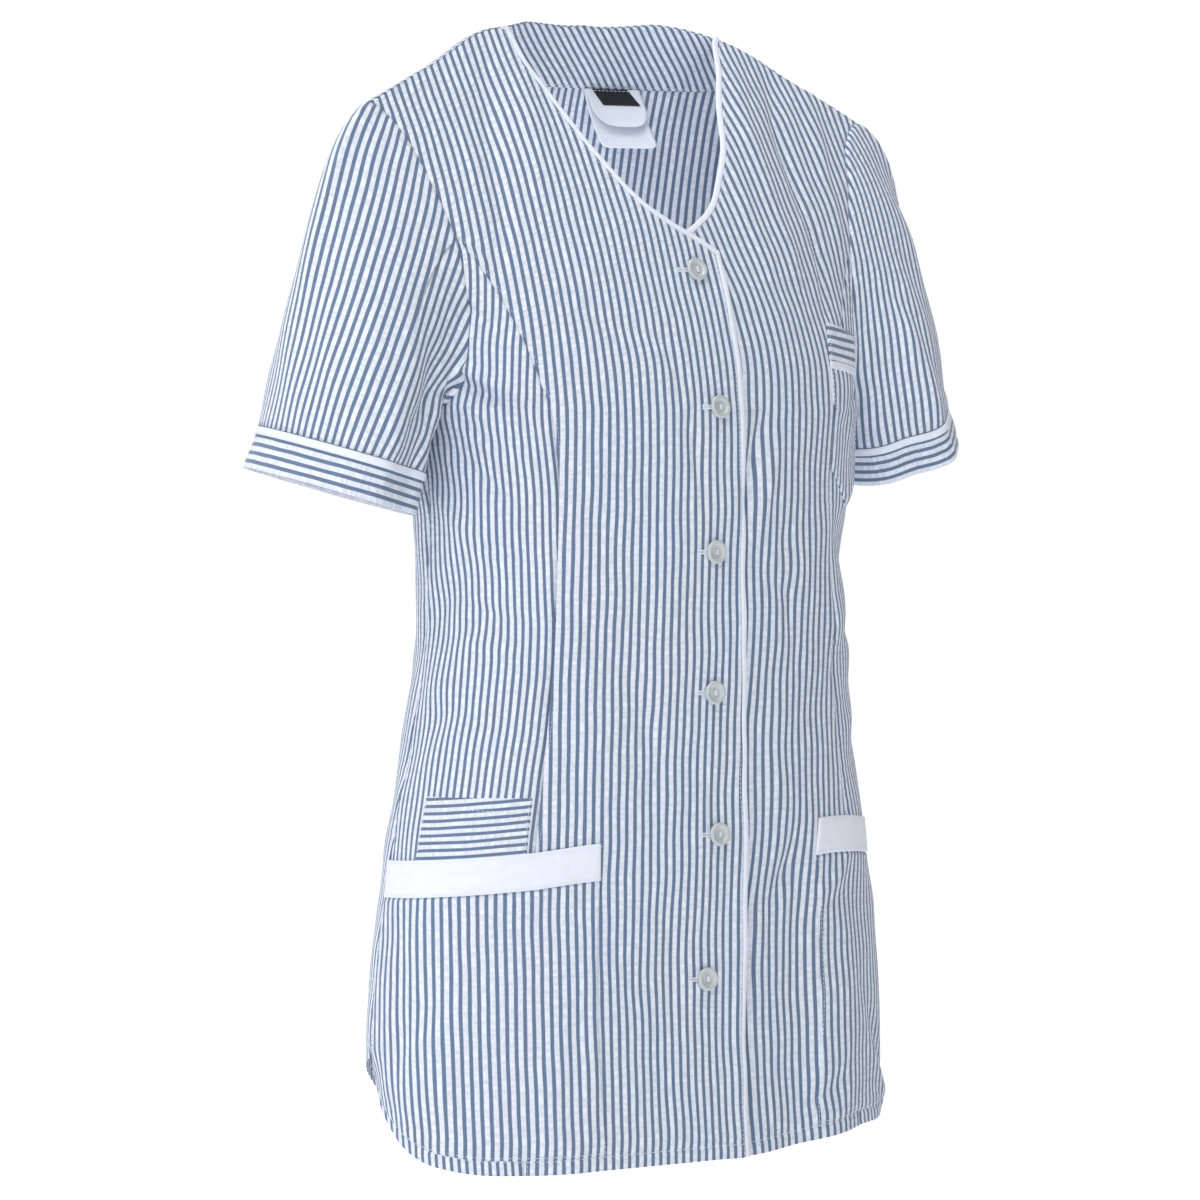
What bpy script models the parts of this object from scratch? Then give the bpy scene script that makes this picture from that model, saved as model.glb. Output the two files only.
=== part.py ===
"""Short-sleeved work tunic with a V neck and six front buttons, as worn and hollow.

Frame: metres, +Z up, the front faces -Y and the wearer's left is +X.  The
origin lies between the two neck points, 4.5 mm above them, where the tunic hangs.
The torso is one smooth form.  A point on it is given by an angle round the
body (0 at the centre front, positive to the wearer's left, half a turn at the
centre back) and a level: below 0 it is a depth in metres under the bust line,
and from 0 to 1 it climbs over the shoulder to the shoulder seam.
Side is -1 for the wearer's right and +1 for the wearer's left.
"""
import math

import bmesh
import bpy
import numpy as np

# ---------------------------------------------------------------- sizes
WALL = 0.0013
SEAM_GAP = 0.0003
LAYER_GAP = 0.00045
BUST_Z = -0.250
ROUNDNESS = 2.2
ARCH_FRONT = 1.24
ARCH_BACK = 2.2
RIDGE_HALF = 0.250
EDGE_LAP = 0.0195
LAP_LIFT = 0.0011
VENT_TOP = -0.662
VENT_OPEN = math.radians(2.0)
BINDING_WIDTH = 0.0045
CUFF_DEPTH = 0.023
CUFF_FLARE = 0.0020
TAPE_DEPTH = 0.0055
BUTTON_RADIUS = 0.0077
BUTTON_THICK = 0.0030

# Horizontal sections of the torso, from the bust line to the hem.
SECTIONS = {
    "z": (-0.760, -0.690, -0.620, -0.540, -0.465, -0.390, -0.320, -0.250),
    "half_width": (0.194, 0.194, 0.191, 0.180, 0.1665, 0.1575, 0.1595, 0.169),
    "middle": (-0.018, -0.018, -0.018, -0.019, -0.021, -0.024, -0.025, -0.023),
    "front": (0.099, 0.096, 0.095, 0.096, 0.093, 0.090, 0.089, 0.0895),
    "back": (0.099, 0.100, 0.100, 0.099, 0.097, 0.096, 0.098, 0.102),
}
# Share of the front depth left at each share of the climb to the shoulder.
CHEST = {
    "up": (0.0, 0.10, 0.212, 0.34, 0.43, 0.528, 0.62, 0.728, 0.84, 0.93, 1.0),
    "over": (1.0, 0.972, 0.912, 0.822, 0.748, 0.648, 0.535, 0.385, 0.222, 0.090, 0.0),
}
# Height and depth of the shoulder ridge against the distance from the middle, and
# what the back adds to its height inside the neck.
RIDGE = {
    "x": (0.0, 0.050, 0.093, 0.150, 0.205, 0.260),
    "z": (-0.003, -0.003, -0.0045, -0.0285, -0.056, -0.088),
    "neck_rise": (0.0262, 0.0205, 0.0, 0.0, 0.0, 0.0),
    "y": (0.0, 0.0, 0.0, -0.004, -0.010, -0.014),
}
# Angle of the armhole at each level, in degrees.
ARMHOLE = {
    "level": (0.0, 0.015, 0.05, 0.10, 0.16, 0.225, 0.345, 0.44, 0.504, 0.62, 0.77, 1.0),
    "front": (90.0, 82.0, 75.5, 71.5, 68.4, 65.3, 60.0, 56.2, 53.9, 51.4, 49.3, 51.3),
    "back": (90.0, 99.0, 106.5, 112.0, 116.0, 119.0, 122.5, 124.5, 125.5, 127.0, 128.4, 128.7),
}
# Distance of the bound V neckline from the centre front at each level.
NECK = {
    "level": (0.390, 0.415, 0.436, 0.475, 0.539, 0.621, 0.722, 0.800, 0.950, 1.0),
    "x": (-0.0195, -0.0040, 0.0105, 0.0305, 0.0475, 0.0625, 0.0745, 0.0822, 0.0878, 0.0910),
}
# Angle of the front shaping seam at each level, in degrees.
PRINCESS = {
    "level": (-0.51, -0.268, -0.15, -0.075, -0.03, 0.0, 0.11, 0.234, 0.346, 0.492),
    "angle": (43.6, 44.1, 44.2, 42.8, 41.9, 41.9, 43.9, 46.4, 49.3, 53.7),
}
# Angle of the side seam at each level, in degrees.
SIDE_SEAM = {
    "level": (-0.51, -0.30, -0.16, -0.06, 0.0),
    "angle": (101.5, 101.0, 99.0, 94.5, 90.0),
}
# Height of the front hem and the back hem against the angle, in degrees.
HEM = {
    "front_angle": (0.0, 22.0, 41.0, 52.0, 63.5, 70.6, 77.4, 84.4, 90.6, 95.0, 99.5),
    "front_z": (-0.7365, -0.7385, -0.7406, -0.7402, -0.7366, -0.7332, -0.7274, -0.7174, -0.7047,
                -0.6925, -0.6790),
    "back_angle": (103.5, 112.0, 120.0, 128.0, 138.0, 150.0, 165.0, 180.0),
    "back_z": (-0.669, -0.674, -0.682, -0.694, -0.712, -0.728, -0.738, -0.742),
}
# Rise of the rows at the hip pockets, which slope down to the side seam.
TILT = {
    "angle": (0.0, 27.0, 45.0, 64.0, 90.0, 101.0, 160.0),
    "rise": (0.0070, 0.0062, 0.0005, -0.0033, -0.0060, -0.0065, 0.0),
    "z": (-0.662, -0.600, -0.535, -0.4995),
    "share": (0.0, 1.0, 1.0, 0.0),
}
# Rise of the wearer's left side, which hangs a little higher than the right.
LEFT_RISE = {
    "z": (-0.765, -0.520, -0.440, -0.340),
    "rise": (0.017, 0.0168, 0.009, 0.0),
}
# The large soft folds: side, angle and height of both ends, half width, depth.
FOLDS = (
    {"side": -1, "a": (50.0, -0.335), "b": (86.0, -0.375), "half": 0.020, "depth": -0.0035},
    {"side": -1, "a": (48.0, -0.385), "b": (88.0, -0.430), "half": 0.022, "depth": 0.0030},
    {"side": 1, "a": (50.0, -0.330), "b": (86.0, -0.380), "half": 0.020, "depth": -0.0035},
    {"side": 1, "a": (48.0, -0.390), "b": (88.0, -0.425), "half": 0.022, "depth": 0.0030},
    {"side": 1, "a": (22.0, -0.560), "b": (20.0, -0.760), "half": 0.018, "depth": -0.0040},
    {"side": 1, "a": (36.0, -0.600), "b": (34.0, -0.760), "half": 0.020, "depth": 0.0035},
    {"side": -1, "a": (30.0, -0.620), "b": (34.0, -0.760), "half": 0.022, "depth": 0.0030},
    {"side": -1, "a": (125.0, -0.330), "b": (150.0, -0.420), "half": 0.026, "depth": -0.0040},
    {"side": 1, "a": (125.0, -0.330), "b": (150.0, -0.420), "half": 0.026, "depth": -0.0040},
    {"side": -1, "a": (150.0, -0.560), "b": (146.0, -0.760), "half": 0.026, "depth": 0.0040},
    {"side": 1, "a": (150.0, -0.560), "b": (146.0, -0.760), "half": 0.026, "depth": 0.0040},
)

# ---------------------------------------------------------------- rows
BODY_ROWS = (-0.280, -0.312, -0.346, -0.381, -0.417, -0.450, -0.476, -0.4995,
             -0.517, -0.535, -0.559, -0.593, -0.627, -0.662)
VENT_ROWS = (0.30, 0.60, 0.88, 1.0)
ARCH_ROWS = (0.0, 0.015, 0.05, 0.10, 0.16, 0.225, 0.295, 0.345, 0.390, 0.415, 0.445, 0.492,
             0.504, 0.56, 0.63, 0.70, 0.775, 0.85, 0.925, 1.0)
ROWS = ([("vent", k) for k in reversed(VENT_ROWS)]
        + [("level", z - BUST_Z) for z in reversed(BODY_ROWS)]
        + [("level", h) for h in ARCH_ROWS])
FIRST_ARCH = len(VENT_ROWS) + len(BODY_ROWS)
TIP_ROW = FIRST_ARCH + ARCH_ROWS.index(0.492)
LAST_ROW = len(ROWS) - 1
POCKET_FOOT_ROW = 1
BAND_FOOT_ROW = len(VENT_ROWS) + len(BODY_ROWS) - 1 - BODY_ROWS.index(-0.559)
BAND_TOP_ROW = len(VENT_ROWS) + len(BODY_ROWS) - 1 - BODY_ROWS.index(-0.535)
PHONE_TOP_ROW = len(VENT_ROWS) + len(BODY_ROWS) - 1 - BODY_ROWS.index(-0.4995)
FRONT_COLUMNS = (0.0, 0.08, 0.18, 0.30, 0.42, 0.54, 0.66, 0.77, 0.885, 1.0)
SIDE_COLUMNS = (0.0, 0.17, 0.34, 0.51, 0.67, 0.82, 0.93, 1.0)
BACK_COLUMNS = (-1.0, -0.94, -0.84, -0.72, -0.57, -0.409, -0.28, -0.14, 0.0,
                0.14, 0.28, 0.409, 0.57, 0.72, 0.84, 0.94, 1.0)
NECK_COLUMN = 0.409
BACK_NECK_DEPTH = 0.76


def eased(keys, values, at):
    """Smooth curve through a table, without overshoot."""
    x = np.asarray(keys, float)
    v = np.asarray(values, float)
    at = np.clip(np.asarray(at, float), x[0], x[-1])
    step = np.diff(x)
    rise = np.diff(v) / step
    slope = np.zeros(len(x))
    same = rise[:-1] * rise[1:] > 0
    total = np.where(same, rise[:-1] + rise[1:], 1.0)
    slope[1:-1] = np.where(same, 2.0 * rise[:-1] * rise[1:] / total, 0.0)
    slope[0] = rise[0]
    slope[-1] = rise[-1]
    i = np.clip(np.searchsorted(x, at, side="right") - 1, 0, len(x) - 2)
    t = (at - x[i]) / step[i]
    h01 = t * t * (3.0 - 2.0 * t)
    h10 = t * (1.0 - t) ** 2
    h11 = t * t * (t - 1.0)
    return v[i] * (1.0 - h01) + v[i + 1] * h01 + step[i] * (slope[i] * h10 + slope[i + 1] * h11)


def unit(vectors):
    """Vectors scaled to length one."""
    size = np.linalg.norm(vectors, axis=-1, keepdims=True)
    return vectors / np.maximum(size, 1e-12)


def smoothstep(t):
    """Soft ramp from 0 to 1."""
    t = np.clip(t, 0.0, 1.0)
    return t * t * (3.0 - 2.0 * t)


def round_factor(theta):
    """Radius of the rounded unit outline at an angle."""
    n = ROUNDNESS
    return (np.abs(np.sin(theta)) ** n + np.abs(np.cos(theta)) ** n) ** (-1.0 / n)


def angle_at(share):
    """Angle at which the outline reaches a share of its half width."""
    s = np.clip(np.abs(share), 0.0, 0.999999) ** ROUNDNESS
    turn = np.arctan((s / (1.0 - s)) ** (1.0 / ROUNDNESS))
    return np.sign(share) * turn


def arch_half_width(level, front):
    """Half width of the form where it climbs over the shoulder."""
    power = np.where(front, 2.0 / ARCH_FRONT, 2.0 / ARCH_BACK)
    up = np.sin(np.clip(level, 0.0, 1.0) * math.pi / 2.0) ** power
    base = SECTIONS["half_width"][-1]
    return base + (RIDGE_HALF - base) * up ** 2


def fold_offset(theta, z):
    """Outward offset of the large soft folds."""
    total = np.zeros(np.broadcast(theta, z).shape)
    for fold in FOLDS:
        along = 0.17
        a = np.array([math.radians(fold["a"][0]) * along, fold["a"][1]])
        b = np.array([math.radians(fold["b"][0]) * along, fold["b"][1]])
        p = np.stack(np.broadcast_arrays(np.abs(theta) * along, z), axis=-1)
        line = b - a
        t = np.clip(((p - a) @ line) / (line @ line), 0.0, 1.0)
        away = np.linalg.norm(p - (a + t[..., None] * line), axis=-1)
        own = np.sign(theta) == fold["side"]
        total += np.where(own, fold["depth"] * np.exp(-(away / fold["half"]) ** 2), 0.0)
    return total


def form(theta, level):
    """Point on the torso form for a signed angle and a level."""
    theta, level = np.broadcast_arrays(np.asarray(theta, float), np.asarray(level, float))
    front = np.abs(theta) <= math.pi / 2.0
    s = np.sin(theta) * round_factor(theta)
    c = np.abs(np.cos(theta)) * round_factor(theta)
    z_low = BUST_Z + np.minimum(level, 0.0)
    wide = eased(SECTIONS["z"], SECTIONS["half_width"], z_low)
    deep = np.where(front, eased(SECTIONS["z"], SECTIONS["front"], z_low),
                    eased(SECTIONS["z"], SECTIONS["back"], z_low))
    middle = eased(SECTIONS["z"], SECTIONS["middle"], z_low)
    y_low = middle + np.where(front, -1.0, 1.0) * deep * c
    power = np.where(front, 2.0 / ARCH_FRONT, 2.0 / ARCH_BACK)
    psi = np.clip(level, 0.0, 1.0) * math.pi / 2.0
    up = np.sin(psi) ** power
    over = np.maximum(np.cos(psi), 0.0) ** power
    over = np.where(front, eased(CHEST["up"], CHEST["over"], up), over)
    ridge_x = np.abs(s) * RIDGE_HALF
    ridge_z = eased(RIDGE["x"], RIDGE["z"], ridge_x)
    ridge_z = ridge_z + np.where(front, 0.0, eased(RIDGE["x"], RIDGE["neck_rise"], ridge_x))
    ridge_y = eased(RIDGE["x"], RIDGE["y"], ridge_x)
    x = s * np.where(level > 0.0, arch_half_width(level, front), wide)
    y = np.where(level > 0.0, ridge_y + (y_low - ridge_y) * over, y_low)
    z = np.where(level > 0.0, BUST_Z + (ridge_z - BUST_Z) * up, z_low)
    push = fold_offset(theta, z)
    away = unit(np.stack([s, np.where(front, -c, c)], axis=-1))
    return np.stack([x + away[..., 0] * push, y + away[..., 1] * push, z], axis=-1)


def form_normal(theta, level):
    """Outward unit normal of the torso form."""
    step = 1e-3
    level = np.asarray(level, float)
    high = np.minimum(level + step, 1.0 - 1e-6)
    low = np.minimum(level - step, 1.0 - 3.0 * step)
    low = np.where((level > 0.0) & (level < 2.0 * step), level + 0.5 * step, low)
    high = np.where((level > 0.0) & (level < 2.0 * step), level + 2.0 * step, high)
    across = form(np.asarray(theta) + step, level) - form(np.asarray(theta) - step, level)
    along = form(theta, high) - form(theta, low)
    return unit(np.cross(across, along))


# ---------------------------------------------------------------- lattice of the torso
def row_tilt(theta, z):
    """Rise of the rows near the hip pockets, which slope down to the side seam."""
    return (eased(TILT["angle"], TILT["rise"], np.degrees(np.abs(theta)))
            * eased(TILT["z"], TILT["share"], z))


def left_rise(theta, z):
    """Rise of a row on the wearer's left, fading out at the centre front and back."""
    ramp = smoothstep(theta / math.radians(50.0)) * smoothstep((math.pi - theta) / math.radians(60.0))
    return ramp * eased(LEFT_RISE["z"], LEFT_RISE["rise"], z)


def hem_height(theta):
    """Height of the hem, whose front corners are rounded beside the side vents."""
    turn = np.degrees(np.abs(theta))
    return np.where(turn < SIDE_SEAM["angle"][0], eased(HEM["front_angle"], HEM["front_z"], turn),
                    eased(HEM["back_angle"], HEM["back_z"], turn))


def row_level(row, theta):
    """Level of a row of the lattice at an angle."""
    kind, value = ROWS[row]
    if kind == "vent":
        foot = hem_height(theta) - BUST_Z
        top = VENT_TOP - BUST_Z
        return top + (foot - top) * value + left_rise(theta, VENT_TOP)
    if value >= 0.0:
        return np.full(np.shape(theta), value)
    z = BUST_Z + value
    return value + row_tilt(theta, z) + left_rise(theta, z)


def vent_angle(row):
    """Angle by which each side of the vent stands back from the side seam."""
    kind, value = ROWS[row]
    return VENT_OPEN * value if kind == "vent" else 0.0


def level_value(row):
    """Level of a row at the centre front, for the seam tables."""
    kind, value = ROWS[row]
    return float(row_level(row, np.zeros(1))[0]) if kind == "vent" else value


def edge_angle(row):
    """Angle of the front edge or the neckline on its own side of the body."""
    level = level_value(row)
    if level <= NECK["level"][0]:
        z = BUST_Z + min(level, 0.0)
        half = float(eased(SECTIONS["z"], SECTIONS["half_width"], z))
        if level > 0.0:
            half = float(arch_half_width(level, True))
        return float(angle_at(-EDGE_LAP / half))
    x = float(eased(NECK["level"], NECK["x"], level))
    return float(angle_at(x / float(arch_half_width(level, True))))


def side_angle(row):
    """Angle of the side seam."""
    return math.radians(float(eased(SIDE_SEAM["level"], SIDE_SEAM["angle"], level_value(row))))


def princess_angle(row):
    """Angle of the shaping seam."""
    return math.radians(float(eased(PRINCESS["level"], PRINCESS["angle"], level_value(row))))


def armhole_angle(row, face):
    """Angle of the armhole at a row of the front or the back."""
    return math.radians(float(eased(ARMHOLE["level"], ARMHOLE[face], level_value(row))))


def row_at(level):
    """Fractional row of a level."""
    levels = [value for kind, value in ROWS[len(VENT_ROWS):]]
    return len(VENT_ROWS) + float(np.interp(level, levels, range(len(levels))))


def column_at(row, degrees):
    """Fractional column of an angle on the joined front and side front."""
    total = 0.0
    low = int(math.floor(row))
    for near, share in ((low, low + 1.0 - row), (min(low + 1, TIP_ROW), row - low)):
        start = edge_angle(near)
        seam = princess_angle(near)
        end = side_angle(near) - vent_angle(near)
        if near >= FIRST_ARCH:
            end = armhole_angle(near, "front")
        turn = math.radians(degrees)
        spots = [start + (seam - start) * c for c in FRONT_COLUMNS]
        spots += [seam + (end - seam) * c for c in SIDE_COLUMNS[1:]]
        total += share * float(np.interp(turn, spots, range(len(spots))))
    return total


def lap_offset(own_angle, side):
    """Offset that lays the wearer's right front over the left one at the middle."""
    ramp = 1.0 - smoothstep((own_angle - math.radians(11.0)) / math.radians(12.0))
    return -side * LAP_LIFT * ramp


def lattice(angles, side, rows, lapped):
    """Points and normals of a piece from its angles, one list for each row."""
    points = []
    normals = []
    for row, own in zip(rows, angles):
        own = np.asarray(own, float)
        theta = side * own
        level = row_level(row, theta)
        normal = form_normal(theta, level)
        lift = lap_offset(own, side) if lapped else np.zeros_like(own)
        points.append(form(theta, level) + normal * lift[:, None])
        normals.append(normal)
    return np.array(points), np.array(normals)


def front_lattice(side):
    """Lattice of a front panel, from its front edge to its seam or armhole."""
    rows = range(LAST_ROW + 1)
    angles = []
    for row in rows:
        start = edge_angle(row)
        end = princess_angle(row) if row <= TIP_ROW else armhole_angle(row, "front")
        angles.append([start + (end - start) * c for c in FRONT_COLUMNS])
    return lattice(angles, side, rows, True)


def side_lattice(side):
    """Lattice of a side front panel, from the shaping seam to the side seam."""
    rows = range(TIP_ROW + 1)
    angles = []
    for row in rows:
        start = princess_angle(row)
        end = side_angle(row) - vent_angle(row)
        if row >= FIRST_ARCH:
            end = armhole_angle(row, "front")
        angles.append([start + (end - start) * c for c in SIDE_COLUMNS])
    return lattice(angles, side, rows, False)


def back_lattice():
    """Lattice of the back, from the wearer's right to the wearer's left."""
    points = []
    normals = []
    columns = np.array(BACK_COLUMNS)
    for row in range(LAST_ROW + 1):
        edge = side_angle(row) + vent_angle(row)
        if row >= FIRST_ARCH:
            edge = armhole_angle(row, "back")
        theta = np.sign(columns) * (math.pi - (math.pi - edge) * np.abs(columns))
        theta = np.where(columns == 0.0, math.pi, theta)
        level = row_level(row, theta)
        if row >= FIRST_ARCH:
            inside = np.clip(1.0 - np.abs(columns) / NECK_COLUMN, 0.0, 1.0)
            dip = (1.0 - BACK_NECK_DEPTH) * (1.0 - (1.0 - inside) ** 2.4)
            level = level * (1.0 - dip * smoothstep(level_value(row) * 1.3))
        points.append(form(theta, level))
        normals.append(form_normal(theta, level))
    return np.array(points), np.array(normals)


# ---------------------------------------------------------------- lattice of a sleeve
def share_shoulder(fronts, back):
    """Seat the fronts on the back's shoulder seam, with normals half way between the two."""
    points, normals = back
    for column, share in enumerate(BACK_COLUMNS):
        if abs(share) >= NECK_COLUMN:
            x = points[-1, column, 0]
            theta = float(angle_at(x / RIDGE_HALF))
            behind = np.sign(x) * math.pi - theta
            normals[-1, column] = unit(form_normal(theta, 1.0) + form_normal(behind, 1.0))
    for place, vectors in fronts.values():
        for column in range(len(FRONT_COLUMNS)):
            x = place[-1, column, 0]
            for axis in (1, 2):
                place[-1, column, axis] = np.interp(x, points[-1, :, 0], points[-1, :, axis])
            vectors[-1, column] = unit(np.array([np.interp(x, points[-1, :, 0], normals[-1, :, axis])
                                                 for axis in range(3)]))


def armhole_ring(side, fronts, sides, back):
    """Armhole points and torso normals, from the shoulder down the front and up the back."""
    column = len(BACK_COLUMNS) - 1 if side > 0 else 0
    places = []
    for grid in (0, 1):
        ring = [fronts[grid][row, -1] for row in range(LAST_ROW, TIP_ROW, -1)]
        ring += [sides[grid][row, -1] for row in range(TIP_ROW, FIRST_ARCH - 1, -1)]
        ring += [back[grid][row, column] for row in range(FIRST_ARCH + 1, LAST_ROW)]
        places.append(np.array(ring))
    return places[0], unit(places[1])


# Where each sleeve ends: middle of its mouth, half widths and slopes in degrees.
SLEEVES = {
    -1: {"x": 0.2205, "y": -0.005, "z": -0.2760, "half_x": 0.0500, "half_y": 0.065,
         "tilt": 14.0, "lean": -8.0, "fullness": 0.0065},
    1: {"x": 0.2130, "y": -0.005, "z": -0.2480, "half_x": 0.0475, "half_y": 0.065,
        "tilt": 28.0, "lean": -13.0, "fullness": 0.0115},
}
SLEEVE_RINGS = (0.0, 0.06, 0.14, 0.25, 0.38, 0.52, 0.67, 0.83, 1.0)
SLEEVE_FOLDS = (
    {"turn": 112.0, "half": 16.0, "depth": -0.0050, "from": 0.30},
    {"turn": 82.0, "half": 14.0, "depth": 0.0030, "from": 0.35},
    {"turn": 250.0, "half": 18.0, "depth": -0.0045, "from": 0.30},
)


def sleeve_frame(side):
    """Directions of a sleeve: out from the body, ahead, and down its length."""
    tilt = math.radians(SLEEVES[side]["tilt"])
    lean = math.radians(SLEEVES[side]["lean"])
    out = np.array([side * math.cos(tilt), 0.0, math.sin(tilt)])
    down = np.array([side * math.sin(tilt), 0.0, -math.cos(tilt)])
    ahead = np.array([0.0, -1.0, 0.0])
    forward = ahead * math.cos(lean) - down * math.sin(lean)
    return out, forward, down * math.cos(lean) + ahead * math.sin(lean)


def ring_turns(ring):
    """Turn round the sleeve of each armhole point, 0 at the shoulder and 90 degrees in front."""
    steps = np.linalg.norm(np.diff(np.vstack([ring, ring[:1]]), axis=0), axis=1)
    run = np.concatenate([[0.0], np.cumsum(steps)])
    under = FIRST_ARCH
    count = LAST_ROW - under
    half = run[count]
    turn = np.where(np.arange(len(ring)) <= count, run[:-1] / half * math.pi,
                    math.pi + (run[:-1] - half) / (run[-1] - half) * math.pi)
    return turn


def sleeve_lattice(side, ring, ring_normal):
    """Lattice of a sleeve, from the armhole to the top of its cuff."""
    size = SLEEVES[side]
    out, ahead, axis = sleeve_frame(side)
    turn = ring_turns(ring)
    centre = np.array([side * size["x"], size["y"], size["z"]])
    foot = (centre + np.outer(np.cos(turn) * size["half_x"], out)
            + np.outer(np.sin(turn) * size["half_y"], ahead))
    tangent = unit(np.roll(ring, -1, axis=0) - np.roll(ring, 1, axis=0))
    leave = unit(np.cross(ring_normal, tangent)) * side
    crown = 0.5 + 0.5 * np.cos(turn)
    part = crown[:, None]
    start = unit(leave * 1.05 + axis * (0.75 - 0.25 * part)
                 + out * 0.45 * (1.0 - part)) * (0.050 + 0.090 * part)
    finish = axis * (0.060 + 0.150 * crown)[:, None]
    rings = []
    for t in SLEEVE_RINGS:
        h01 = t * t * (3.0 - 2.0 * t)
        h10 = t * (1.0 - t) ** 2
        h11 = t * t * (t - 1.0)
        place = ring * (1.0 - h01) + foot * h01 + start * h10 + finish * h11
        push = size["fullness"] * math.sin(math.pi * t ** 0.7) * crown
        for fold in SLEEVE_FOLDS:
            gap = np.abs((np.degrees(turn) - fold["turn"] + 180.0) % 360.0 - 180.0)
            grow = smoothstep((t - fold["from"]) / 0.3)
            push += fold["depth"] * grow * np.exp(-(gap / fold["half"]) ** 2)
        radial = unit(np.outer(np.cos(turn), out) + np.outer(np.sin(turn), ahead))
        rings.append(place + radial * push[:, None])
    return np.array(rings)


def tube_normals(rings, side):
    """Outward normals of a tube from its own points."""
    along = np.gradient(rings, axis=0)
    across = np.roll(rings, -1, axis=1) - np.roll(rings, 1, axis=1)
    return unit(np.cross(across, along)) * side


# ---------------------------------------------------------------- solids
CLOTH = (0.60, 0.68, 0.80, 1.0)
WHITE = (0.90, 0.91, 0.94, 1.0)
PEARL = (0.70, 0.72, 0.74, 1.0)
BLACK = (0.03, 0.03, 0.035, 1.0)
MATERIALS = {}


def material(name, colour, roughness):
    """A plain material, made once."""
    if name not in MATERIALS:
        made = bpy.data.materials.new(name)
        made.use_nodes = True
        shader = made.node_tree.nodes["Principled BSDF"]
        shader.inputs["Base Color"].default_value = colour
        shader.inputs["Roughness"].default_value = roughness
        MATERIALS[name] = made
    return MATERIALS[name]


def add_solid(name, points, faces, finish, smooth=True):
    """Add one closed solid to the scene."""
    mesh = bpy.data.meshes.new(name)
    mesh.from_pydata([tuple(p) for p in points], [], faces)
    mesh.validate()
    work = bmesh.new()
    work.from_mesh(mesh)
    bmesh.ops.triangulate(work, faces=work.faces[:])
    bmesh.ops.recalc_face_normals(work, faces=work.faces[:])
    work.to_mesh(mesh)
    work.free()
    item = bpy.data.objects.new(name, mesh)
    bpy.context.scene.collection.objects.link(item)
    mesh.materials.append(material(*finish))
    for face in mesh.polygons:
        face.use_smooth = smooth
    return item


def add_slab(name, outer, inner, finish, wrap=False):
    """Add the solid between an outer and an inner lattice of the same size."""
    rows, columns = outer.shape[:2]
    count = rows * columns
    points = np.vstack([outer.reshape(-1, 3), inner.reshape(-1, 3)])
    faces = []
    last = columns if wrap else columns - 1
    for i in range(rows - 1):
        for j in range(last):
            a = i * columns + j
            b = i * columns + (j + 1) % columns
            c = b + columns
            d = a + columns
            faces.append((a, b, c, d))
            faces.append((count + d, count + c, count + b, count + a))
    for j in range(last):
        k = (j + 1) % columns
        foot = (rows - 1) * columns
        faces.append((k, j, count + j, count + k))
        faces.append((foot + j, foot + k, count + foot + k, count + foot + j))
    if not wrap:
        for i in range(rows - 1):
            a = i * columns
            b = a + columns - 1
            faces.append((a, a + columns, count + a + columns, count + a))
            faces.append((b + columns, b, count + b, count + b + columns))
    return add_solid(name, points, faces, finish)


def along_border(points):
    """Unit tangents of a line of points."""
    return unit(np.gradient(points, axis=0))


def seam_shift(points, vectors, inward):
    """Half a seam gap away from a seam, square to it and within the cloth."""
    cross = unit(np.cross(along_border(points), vectors))
    turned = np.sign((cross * inward).sum(axis=1, keepdims=True))
    return cross * turned * SEAM_GAP / 2.0


def seated(points, normals, closed):
    """Lattice with each closed border drawn back by half a seam gap."""
    moved = points.copy()
    if "first" in closed:
        moved[:, 0] += seam_shift(points[:, 0], normals[:, 0], points[:, 1] - points[:, 0])
    if "last" in closed:
        moved[:, -1] += seam_shift(points[:, -1], normals[:, -1], points[:, -2] - points[:, -1])
    if "top" in closed:
        moved[-1] += seam_shift(points[-1], normals[-1], points[-2] - points[-1])
    return moved


def add_panel(name, points, vectors, finish, closed, thick=WALL):
    """Add a cloth panel whose thickness runs along the given vectors."""
    moved = seated(points, vectors, closed)
    return add_slab(name, moved + vectors * thick / 2.0, moved - vectors * thick / 2.0, finish)


def add_layer(name, points, normals, lift, thick, finish, wrap=False):
    """Add a piece that lies on a lattice, its inner face lifted off the middle of the cloth."""
    return add_slab(name, points + normals * (lift + thick), points + normals * lift, finish, wrap)


def between(grid, row, column):
    """Value of a lattice between its points, for fractional rows and columns."""
    row, column = np.broadcast_arrays(np.asarray(row, float), np.asarray(column, float))
    i = np.clip(np.floor(row).astype(int), 0, grid.shape[0] - 2)
    j = np.clip(np.floor(column).astype(int), 0, grid.shape[1] - 2)
    u = (row - i)[..., None]
    v = (column - j)[..., None]
    low = grid[i, j] * (1.0 - v) + grid[i, j + 1] * v
    high = grid[i + 1, j] * (1.0 - v) + grid[i + 1, j + 1] * v
    return low * (1.0 - u) + high * u


FIRST_LIFT = WALL / 2.0 + LAYER_GAP
PATCH_THICK = 0.0011
PHONE_THICK = 0.0010
BAND_THICK = 0.0011
STRIPED = ("striped_cotton", CLOTH, 0.85)
PLAIN = ("white_cotton", WHITE, 0.80)
BUTTON = ("pearl_button", PEARL, 0.35)
INKY = ("black_label", BLACK, 0.60)
NAMES = {-1: "right", 1: "left"}


def clear_scene():
    """Remove what the start-up scene holds."""
    for item in list(bpy.data.objects):
        bpy.data.objects.remove(item, do_unlink=True)


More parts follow.
